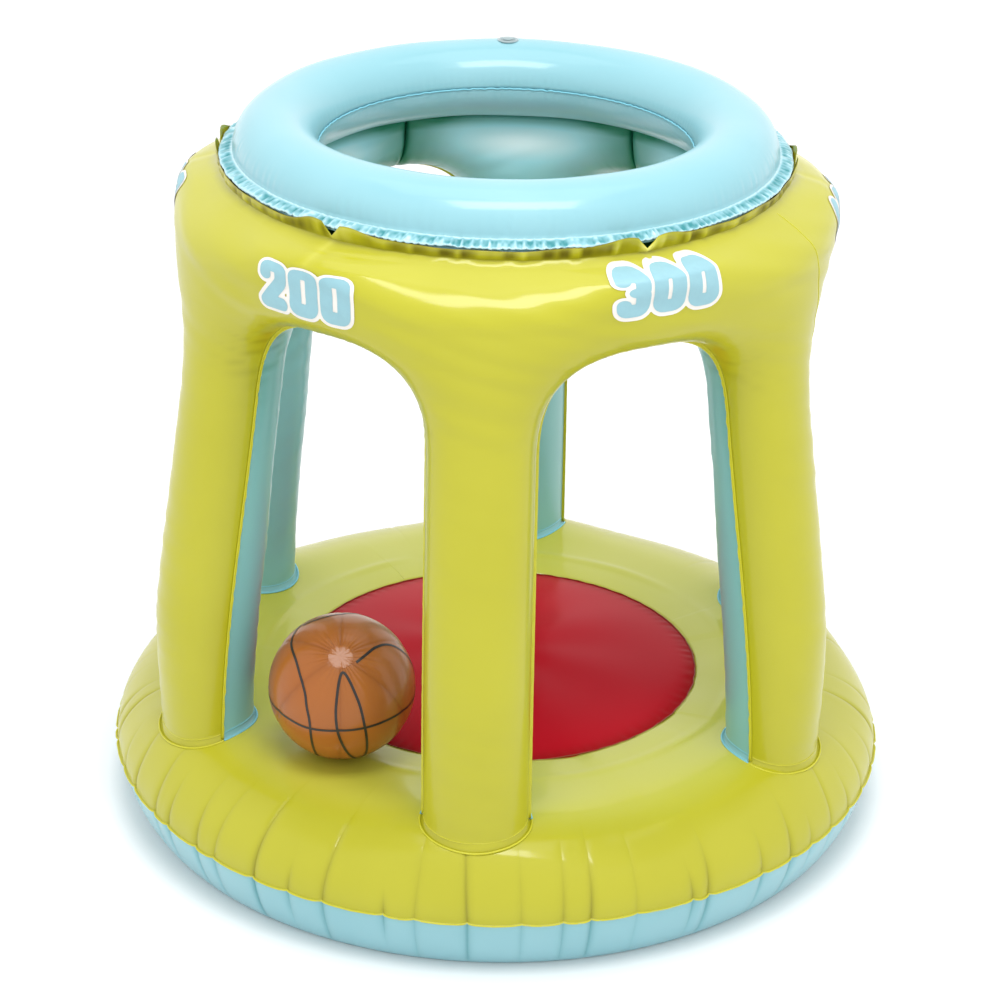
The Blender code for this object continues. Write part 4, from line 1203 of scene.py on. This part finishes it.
@dataclass
class ScoreNumber:
    """A printed score: fat, narrow, round-ended digits in light blue with a white outline."""

    digits: str
    bay: int
    tower: Tower
    height: float
    digit_height: float
    digit_width: float
    stroke: float = 0.0152
    border: float = 0.0042
    gap: float = 0.0030
    cell: float = 0.0013
    # How far the white outline and the digits over it lie off the film
    outline_lift: float = 0.0006
    ink_lift: float = 0.0009
    corner_cut: float = 0.0060

    def strokes(self, digit: str) -> list[list[tuple[float, float]]]:
        """The middle lines of a digit's strokes, about its own centre, in metres."""
        w = (self.digit_width - self.stroke) / 2
        h = (self.digit_height - self.stroke) / 2

        def bend(*corners: tuple[float, float]) -> list:
            """A path through corners, each one but the first and last cut off a little."""
            path = [corners[0]]
            for (ax, ay), (bx, by), (cx, cy) in zip(corners, corners[1:], corners[2:]):
                ends = []
                for ox, oy in ((ax, ay), (cx, cy)):
                    size = max(math.hypot(ox - bx, oy - by), 1e-9)
                    share = min(0.5, self.corner_cut / size)
                    ends.append((bx + (ox - bx) * share, by + (oy - by) * share))
                for t in (0.0, 0.25, 0.5, 0.75, 1.0):
                    a, b, c = (1.0 - t) ** 2, 2.0 * t * (1.0 - t), t * t
                    (x0, y0), (x1, y1) = ends
                    path.append((a * x0 + b * bx + c * x1, a * y0 + b * by + c * y1))
            return [*path, corners[-1]]

        loop = bend((0, h), (w, h), (w, -h), (-w, -h), (-w, h), (0, h))
        shapes = {
            "0": [loop],
            "1": [[(w * 0.35, h), (w * 0.35, -h)], [(w * 0.35, h), (-w * 0.40, h - w * 0.60)]],
            "2": [bend((-w, h * 0.45), (-w, h), (w, h), (w, h * 0.15), (-w, -h)), [(-w, -h), (w, -h)]],
            "3": [bend((-w, h * 0.72), (-w, h), (w, h), (w, 0.0), (w * 0.30, 0.0)),
                  bend((w * 0.30, 0.0), (w, 0.0), (w, -h), (-w, -h), (-w, -h * 0.72))],
            "4": [[(w * 0.45, h), (-w, -h * 0.38), (w * 1.25, -h * 0.38)], [(w * 0.45, h), (w * 0.45, -h)]],
            "5": [[(w, h), (-w, h), (-w, h * 0.12)],
                  bend((-w, h * 0.12), (w, h * 0.12), (w, -h), (-w, -h), (-w, -h * 0.5))],
            "6": [bend((w, h), (-w, h), (-w, -h), (w, -h), (w, -h * 0.12), (-w * 0.3, -h * 0.12))],
        }
        return shapes[digit]

    def distance(self, x: Array, y: Array) -> Array:
        """Distance from each point to the nearest stroke's middle line."""
        best = np.full(x.shape, 1.0)
        pitch = self.digit_width + self.gap
        for place, digit in enumerate(self.digits):
            shift = (place - (len(self.digits) - 1) / 2) * pitch
            for line in self.strokes(digit):
                for (ax, ay), (bx, by) in zip(line, line[1:]):
                    ax, bx = ax + shift, bx + shift
                    px, py, dx, dy = x - ax, y - ay, bx - ax, by - ay
                    share = np.clip((px * dx + py * dy) / max(dx * dx + dy * dy, 1e-12), 0.0, 1.0)
                    best = np.minimum(best, np.hypot(px - share * dx, py - share * dy))
        return best

    def outline_mesh(self, name: str, reach: float, lift: float) -> Mesh:
        """The area within a reach of the strokes, cut from a fine grid and laid on the crown.

        Args:
            name: The mesh's name.
            reach: How far from the strokes' middle lines the ink goes.
            lift: How far the ink lies off the film.
        """
        half_w = 1.5 * self.digit_width + self.gap + self.border + 0.002
        half_h = 0.5 * self.digit_height + self.border + 0.002
        xs = np.arange(-half_w, half_w, self.cell)
        ys = np.arange(-half_h, half_h, self.cell)
        grid_x, grid_y = np.meshgrid(xs, ys)
        field_of = reach - self.distance(grid_x, grid_y)
        points: list[tuple[float, float]] = []
        known: dict[tuple, int] = {}

        def corner(i: int, j: int) -> int:
            """The number of a grid corner's point."""
            if (i, j) not in known:
                known[i, j] = len(points)
                points.append((xs[j], ys[i]))
            return known[i, j]

        def crossing(a: tuple[int, int], b: tuple[int, int]) -> int:
            """The number of the point where the outline crosses an edge of the grid."""
            a, b = min(a, b), max(a, b)
            if (a, b) not in known:
                share = field_of[a] / (field_of[a] - field_of[b])
                known[a, b] = len(points)
                points.append(
                    (xs[a[1]] + share * (xs[b[1]] - xs[a[1]]), ys[a[0]] + share * (ys[b[0]] - ys[a[0]]))
                )
            return known[a, b]

        faces = []
        for i in range(len(ys) - 1):
            for j in range(len(xs) - 1):
                loop = [(i, j), (i, j + 1), (i + 1, j + 1), (i + 1, j)]
                inside = [field_of[c] > 0 for c in loop]
                if not any(inside):
                    continue
                face = []
                for k in range(4):
                    here, after = loop[k], loop[(k + 1) % 4]
                    if inside[k]:
                        face.append(corner(*here))
                    if inside[k] != inside[(k + 1) % 4]:
                        face.append(crossing(here, after))
                if len(face) > 2:
                    faces.append(face)
        flat = np.array(points)
        mesh = bpy.data.meshes.new(name)
        mesh.from_pydata(self.on_crown(flat[:, 0], flat[:, 1], lift).tolist(), [], faces)
        mesh.update()
        mesh.shade_smooth()
        return mesh

    def on_crown(self, x: Array, y: Array, lift: float) -> Array:
        """Lays points of the flat print on the crown, its middle at the bay's middle and its own height."""
        tower = self.tower
        # Heights follow the film's curve in its upright section, so the print is as tall as on paper
        levels = np.linspace(tower.arch_top + 0.0005, tower.shoulder_end - 0.001, 160)
        side = tower.smooth_radius(Side.OUTER, tower.half_bay * tower.ring(levels), levels)
        arc = arc_length(levels, side)
        height = np.interp(np.interp(self.height, levels, arc) + y, arc, levels)
        turn = x / np.interp(self.height, levels, side)
        radius = tower.outside(self.bay, turn, height)
        step = 0.0005
        above, below = (tower.outside(self.bay, turn, height + sign * step) for sign in (1.0, -1.0))
        slope = (above - below) / (2.0 * step)
        size = np.hypot(1.0, slope)
        azimuth = tower.settled(tower.middle(self.bay) + tower.half_bay + turn, height)
        return polar_points(radius + lift / size, azimuth, height - lift * slope / size)

    def build(self, finishes: Finishes) -> None:
        """Makes the outline and the digits."""
        word = f"score_{self.digits}"
        outline = self.outline_mesh(f"{word}_outline", self.stroke / 2 + self.border, self.outline_lift)
        piece(outline, finishes.white_ink)
        ink = self.outline_mesh(f"{word}_ink", self.stroke / 2, self.ink_lift)
        piece(ink, finishes.blue_ink)


@dataclass
class Ball:
    """The small air ball: six gores welded pole to pole, a patch on the pole, and printed black lines."""

    radius: float = 0.0821
    distance: float = 0.2821
    place_azimuth: float = -33.9
    height: float = 0.2283
    pole_azimuth: float = 6.0
    pole_elevation: float = 52.0
    gores: int = 6
    line_half_width: float = 0.0015
    ink_lift: float = 0.0004

    def __post_init__(self) -> None:
        """Works out the ball's centre and axes."""
        azimuth = math.radians(self.place_azimuth)
        self.centre = polar_points(np.array(self.distance), np.array(azimuth), np.array(self.height))
        azimuth, tilt = math.radians(self.pole_azimuth), math.radians(self.pole_elevation)
        self.pole = polar_points(np.array(math.cos(tilt)), np.array(azimuth), np.array(math.sin(tilt)))
        down = np.array([0.0, 0.0, -1.0])
        front = down - down.dot(self.pole) * self.pole
        self.front = front / np.linalg.norm(front)
        self.east = np.cross(self.pole, self.front)

    def points(self, longitude: Array, angle: Array, radius: Array) -> Array:
        """Points at a longitude and an angle from the pole, in radians, and a radius."""
        longitude, angle, radius = np.broadcast_arrays(longitude, angle, radius)
        flat = np.sin(angle)[..., None] * (
            np.cos(longitude)[..., None] * self.front + np.sin(longitude)[..., None] * self.east
        )
        return self.centre + radius[..., None] * (np.cos(angle)[..., None] * self.pole + flat)

    def skin(self) -> Mesh:
        """All six gores in one skin, drawn in a little along their welds and gathered at the poles."""
        longitude = np.linspace(0.0, TAU, 289)[:-1]
        angle = np.linspace(math.pi, 0.0, 110)[:, None]
        gore = longitude * self.gores / TAU
        seam = np.abs(gore - np.round(gore)) * TAU / self.gores
        near_seam = np.exp(-(seam[None, :] * np.sin(angle) / 0.045))
        from_pole = np.minimum(angle, math.pi - angle)
        gather = ring_noise(longitude, 14, 40, 91)[None, :] * hump(from_pole, 0.42)
        gather = gather * smooth_step(from_pole, 0.02, 0.2)
        pucker = ring_noise(angle * 3.0 + 0.0 * longitude, 20, 60, 92) * near_seam
        radius = self.radius * (1.0 - 0.010 * near_seam * np.sin(angle) + 0.0045 * gather + 0.0016 * pucker)
        radius = radius * (1.0 - 0.018 * hump(from_pole, 0.16))
        # Painted shade along the welds and in the gathers' dips
        painted_light_and_tone = 0.30 * near_seam + 0.22 * np.maximum(0.0, -gather)
        self.gathers = (longitude, angle, radius)
        return grid_mesh("ball_skin", self.points(longitude[None, :], angle, radius), wrap=True, painted_light_and_tone=painted_light_and_tone)

    def film(self, longitude: Array, angle: Array) -> Array:
        """The skin's radius at a longitude and an angle from the pole, read from the skin's own grid."""
        longitudes, angles, radius = self.gathers
        i = (math.pi - angle) / math.pi * (len(angles) - 1)
        j = (longitude % TAU) / TAU * len(longitudes)
        i0 = np.clip(np.floor(i).astype(int), 0, len(angles) - 2)
        j0 = np.floor(j).astype(int) % len(longitudes)
        j1 = (j0 + 1) % len(longitudes)
        u, v = i - i0, j - np.floor(j)
        near = radius[i0, j0] * (1 - v) + radius[i0, j1] * v
        far = radius[i0 + 1, j0] * (1 - v) + radius[i0 + 1, j1] * v
        return near * (1 - u) + far * u

    def line(self, name: str, stations: list[tuple[float, float]], closed: bool) -> Mesh:
        """A printed line through stations of longitude and angle from the pole, in degrees."""
        rough = self.points(*np.radians(np.array(stations)).T, np.full(len(stations), self.radius))
        rough = rough - self.centre
        count = len(rough)
        path = []
        runs = count if closed else count - 1
        for k in range(runs):
            before = rough[(k - 1) % count] if closed or k > 0 else 2 * rough[0] - rough[1]
            a, b = rough[k], rough[(k + 1) % count]
            after = rough[(k + 2) % count] if closed or k + 2 < count else 2 * rough[-1] - rough[-2]
            for t in np.linspace(0.0, 1.0, 14, endpoint=False):
                path.append(
                    0.5
                    * (2 * a + (b - before) * t + (2 * before - 5 * a + 4 * b - after) * t**2
                       + (3 * a - before - 3 * b + after) * t**3)
                )
        if not closed:
            path.append(rough[-1])
        middle = np.array(path)
        middle /= np.linalg.norm(middle, axis=1)[:, None]
        ahead = np.roll(middle, -1, axis=0) - np.roll(middle, 1, axis=0)
        if not closed:
            ahead[0], ahead[-1] = middle[1] - middle[0], middle[-1] - middle[-2]
        sideways = np.cross(middle, ahead)
        sideways /= np.linalg.norm(sideways, axis=1)[:, None]
        rows = []
        for share in (-1.0, -0.33, 0.33, 1.0):
            spot = middle + sideways * share * self.line_half_width / self.radius
            spot /= np.linalg.norm(spot, axis=1)[:, None]
            angle = np.arccos(np.clip(spot @ self.pole, -1.0, 1.0))
            longitude = np.arctan2(spot @ self.east, spot @ self.front)
            rows.append(self.points(longitude, angle, self.film(longitude, angle) + self.ink_lift))
        return grid_mesh(name, np.array(rows), wrap=closed)

    def build(self, finishes: Finishes, valve: "AirValve") -> None:
        """Makes and dresses the ball's pieces."""
        gores = tuple(f"ball_gore_{gore + 1}" for gore in range(self.gores))
        skin = self.skin()
        weld_points(skin)
        valve.open_film(skin)
        piece(skin, finishes.brown, "ball", gores, FILM)
        longitude = np.linspace(0.0, TAU, 49)[:-1]
        angle = np.linspace(0.17, 0.0, 9)[:, None]
        patch = self.points(longitude[None, :], angle, self.film(longitude[None, :], angle) + self.ink_lift)
        painted_light_and_tone = np.full(patch.shape[:2], 0.1)
        cap = grid_mesh("ball_pole_patch", patch, wrap=True, painted_light_and_tone=painted_light_and_tone)
        weld_points(cap)
        piece(cap, finishes.brown, "ball", ("ball_pole_cap",))
        belt = [(-71, 81), (-49, 70), (-30, 65), (-5, 60), (21, 61), (48, 68), (80, 87), (120, 110)]
        belt += [(172, 121), (-115, 106)]
        loop = [(8, 13), (-5, 37), (-3, 58), (2, 77), (9, 100), (14, 113), (19, 100), (21, 77), (22, 58)]
        loop += [(23, 36)]
        left = [(-141, 62), (-120, 51), (-89, 36), (-52, 38), (-38, 47), (-27, 63), (-20, 101), (-22, 130)]
        right = [(70, 13), (96, 19), (112, 30), (115, 44), (110, 61), (102, 85), (96, 115)]
        far = [(-141, 56), (-158, 50), (-178, 53), (160, 70), (150, 100)]
        runs = {"belt": (belt, True), "loop": (loop, True)}
        runs |= {"left": (left, False), "right": (right, False), "far": (far, False)}
        lines = [self.line(f"ball_line_{word}", run, closed) for word, (run, closed) in runs.items()]
        mesh = join_meshes("ball_lines", lines)
        piece(mesh, finishes.black_ink, "ball")


@dataclass
class AirValve:
    """A push-in air valve: a flanged seat in the film, a stem, and a plug."""

    names: ClassVar[tuple[str, ...]] = ("base", "tower", "hoop", "ball")
    name: str
    body: str
    flange_radius: float = 0.0125
    bore_radius: float = 0.0080
    wall: float = 0.0010
    depth: float = 0.0120
    stem_bore: float = 0.0037
    cap_radius: float = 0.0062
    # How far from the axis the film is drawn out, and how far from it the film goes
    film_reach: float = 0.024
    film_core: float = 0.0045
    steps: int = 48

    def __post_init__(self) -> None:
        """Reads the valve's place and direction from its joint and its solids."""
        joint = next(j for j in frame["joints"] if j["name"] == f"{self.name}_valve_pull_out")
        self.axis = Vector(joint["axis"]).normalized()
        low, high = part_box(f"{self.name}_valve_stem")
        middle = (Vector(low) + Vector(high)) / 2
        # The stem reaches from 0.8 mm over the film's face to its depth under it
        self.place = middle + self.axis * ((self.depth - 0.0008) / 2)
        turn = self.axis.to_track_quat("Z", "Y").to_matrix().to_4x4()
        self.matrix = Matrix.Translation(self.place) @ turn

    def open_film(self, mesh: Mesh) -> None:
        """Opens a skin round the valve's bore: its middle goes, and the film round it is drawn out."""
        reach, core = self.film_reach, self.film_core
        work = bmesh.new()
        work.from_mesh(mesh)
        hole = self.bore_radius + self.wall + 0.0002
        near, gone = [], []
        for vert in work.verts:
            away = vert.co - self.place
            depth = away.dot(self.axis)
            flat = away - self.axis * depth
            if flat.length < reach and abs(depth) < reach:
                near.append((vert, flat, depth))
                if flat.length < core:
                    gone.append(vert)
        # The film lies a little off the seat's own plane, and is drawn to it at the bore
        level = min((flat.length, depth) for vert, flat, depth in near)[1]
        for vert, flat, depth in near:
            size = max(flat.length, 1e-6)
            out = hole + max(0.0, size - core) * (reach - hole) / (reach - core)
            share = min(9.0, (out / size) ** 2)
            rest = level * (out - hole) / (reach - hole)
            vert.co = self.place + flat * (out / size) + self.axis * ((depth - level) * share + rest)
        bmesh.ops.delete(work, geom=gone, context="VERTS")
        # The rim of the opening lies right round the bore, under the seat's flange
        for vert in work.verts:
            away = vert.co - self.place
            flat = away - self.axis * away.dot(self.axis)
            if vert.is_boundary and away.length < reach:
                vert.co = self.place + flat * (hole / max(flat.length, 1e-6))
        work.to_mesh(mesh)
        work.free()

    def lathe(self, name: str, outline: list[tuple[float, float]]) -> Mesh:
        """A turned, closed mesh from an outline of (radius, height) points, down its outer side."""
        angles = even_angles(self.steps)
        profile = np.array(outline[::-1])
        points = polar_points(profile[:, 0][:, None], angles[None, :], profile[:, 1][:, None])
        mesh = grid_mesh(name, points, wrap=True)
        mesh.transform(self.matrix)
        weld_points(mesh, 0.000005)
        return mesh

    def build(self, finishes: Finishes) -> None:
        """Makes and dresses the valve's pieces."""
        b, w, d, f = self.bore_radius, self.wall, self.depth, self.flange_radius
        seat = [(b, 0.0006), (b + 0.0004, 0.0010), (b + 0.0016, 0.0010), (b + 0.0022, 0.0007)]
        seat += [(f - 0.0006, 0.0007), (f, 0.0004), (f, 0.0), (b + w, 0.0), (b + w, -d), (b, -d), (b, 0.0006)]
        s, t = b - 0.0003, self.stem_bore
        stem = [(t, 0.0005), (t + 0.0003, 0.0008), (s - 0.0004, 0.0008), (s, 0.0004), (s, -d), (t, -d)]
        stem += [(t, 0.0005)]
        c = self.cap_radius
        plug = [(0.0, 0.0029), (c * 0.5, 0.0028), (c * 0.85, 0.0026), (c - 0.0002, 0.0022), (c, 0.0018)]
        plug += [(c, 0.0013), (c - 0.0002, 0.0011), (t - 0.0003, 0.0011), (t - 0.0003, -0.0060)]
        plug += [(t - 0.0009, -0.0069), (0.0, -0.0069)]
        for part, outline in (("seat", seat), ("stem", stem), ("plug", plug)):
            node = f"{self.name}_valve_{part}"
            mesh = self.lathe(f"{node}_moulding", outline)
            piece(mesh, finishes.clear, self.body if part == "seat" else node, (node,))


@dataclass
class Studio:
    """The photo's view: a pale floor, a soft box in front above, and white all round."""

    azimuth: float = 3.96
    distance: float = 3.0208
    height: float = 1.7873
    pitch: float = 25.35
    roll: float = 1.02
    lens: float = 102.8
    wall_light: float = 1.2
    ceiling_light: float = 0.42
    # The sine of the angle up at which the walls end and the ceiling starts
    wall_top: tuple[float, float] = (0.80, 0.88)
    floor_half: float = 40.0
    floor_level: float = -0.0002
    # How far out the floor's own light starts and is full, and how strong it gets
    floor_lit: tuple[float, float] = (2.0, 5.0)
    floor_light: float = 0.45

    def camera(self) -> None:
        """Places the camera where the photo was taken from."""
        data = bpy.data.cameras.new("camera")
        data.lens = self.lens
        data.sensor_width = 36.0
        camera = add_object("camera", data)
        azimuth = math.radians(self.azimuth)
        place = Vector((self.distance * math.sin(azimuth), -self.distance * math.cos(azimuth), self.height))
        aim = (
            Matrix.Rotation(azimuth, 4, "Z")
            @ Matrix.Rotation(math.radians(90.0 - self.pitch), 4, "X")
            @ Matrix.Rotation(math.radians(self.roll), 4, "Z")
        )
        camera.matrix_world = Matrix.Translation(place) @ aim
        bpy.context.scene.camera = camera

    def soft_box(self, name: str, place: tuple, aim: tuple, size: tuple[float, float], power: float) -> None:
        """Hangs one rectangular soft light."""
        data = bpy.data.lights.new(name, "AREA")
        data.shape = "RECTANGLE"
        data.size, data.size_y = size
        data.energy = power
        lamp = add_object(name, data)
        lamp.location = place
        lamp.rotation_euler = (Vector(aim) - Vector(place)).to_track_quat("-Z", "Y").to_euler()

    def surroundings(self) -> None:
        """Lights the scene from white walls that reach 58 degrees up, with a dim ceiling over them."""
        world = bpy.context.scene.world or bpy.data.worlds.new("studio")
        bpy.context.scene.world = world
        world.use_nodes = True
        tree = world.node_tree
        direction = add_node(tree, "ShaderNodeTexCoord", {}, {}).outputs["Generated"]
        up = add_node(tree, "ShaderNodeSeparateXYZ", {}, {"Vector": direction}).outputs["Z"]
        low, high = self.wall_top
        limits = {"Value": up, "From Min": low, "From Max": high, "To Min": self.wall_light}
        limits["To Max"] = self.ceiling_light
        light = add_node(tree, "ShaderNodeMapRange", {}, limits).outputs["Result"]
        feed(tree, tree.nodes["Background"], {"Strength": light, "Color": WHITE})

    def build(self) -> None:
        """Makes the camera, the lights and the floor."""
        self.camera()
        bpy.context.scene.view_settings.view_transform = "Standard"
        self.soft_box("front_soft_box", (0.176, -1.10, 3.157), (0.0, -0.1, 0.6), (1.7, 0.90), 46.0)
        self.soft_box("top_soft_box", (0.0, 0.35, 3.3), (0.0, 0.1, 0.6), (2.4, 1.6), 20.0)
        self.surroundings()
        mesh = bpy.data.meshes.new("studio_floor")
        half = self.floor_half
        corners = [(-half, -half, 0), (half, -half, 0), (half, half, 0), (-half, half, 0)]
        mesh.from_pydata(corners, [], [(0, 1, 2, 3)])
        floor = add_object("studio_floor", mesh)
        floor.location.z = self.floor_level
        material = PlainFinish("pale_studio_floor", "fafafa", "f4f4f4", 0.6, 0.8).material()
        tree = material.node_tree
        # Away from the object the floor is lit up into the white walls, so no horizon shows
        place = add_node(tree, "ShaderNodeTexCoord", {}, {}).outputs["Object"]
        away = add_node(tree, "ShaderNodeVectorMath", {"operation": "LENGTH"}, {0: place}).outputs["Value"]
        near, far = self.floor_lit
        limits = {"Value": away, "From Min": near, "From Max": far, "To Min": 0.0, "To Max": self.floor_light}
        glow = add_node(tree, "ShaderNodeMapRange", {}, limits).outputs["Result"]
        feed(tree, tree.nodes["Principled BSDF"], {"Emission Strength": glow, "Emission Color": WHITE})
        mesh.materials.append(material)


def main() -> None:
    """Builds the object's looks piece by piece, then the studio."""
    logging.basicConfig(level=logging.INFO, format="%(message)s")
    finishes = Finishes()
    beads = BeadMaker()
    base = Base()
    valves = {name: AirValve(name, "ball" if name == "ball" else "root") for name in AirValve.names}
    base.build(finishes, beads, valves["base"])
    hoop = Hoop()
    tower = Tower(base, hoop)
    tower.build(finishes, beads, valves["tower"])
    hoop.build(finishes, beads, valves["hoop"])
    prints = (
        ("300", 0.751, 0.0345, 0.0650),
        ("400", 0.730, 0.0360, 0.0590),
        ("500", 0.732, 0.0360, 0.0590),
        ("600", 0.732, 0.0360, 0.0590),
        ("100", 0.734, 0.0360, 0.0590),
        ("200", 0.732, 0.0360, 0.0600),
    )
    for bay, (digits, height, width, tall) in enumerate(prints):
        ScoreNumber(digits, bay, tower, height, tall, width).build(finishes)
    Ball().build(finishes, valves["ball"])
    for valve in valves.values():
        valve.build(finishes)
    Studio().build()


if __name__ == "__main__":
    main()
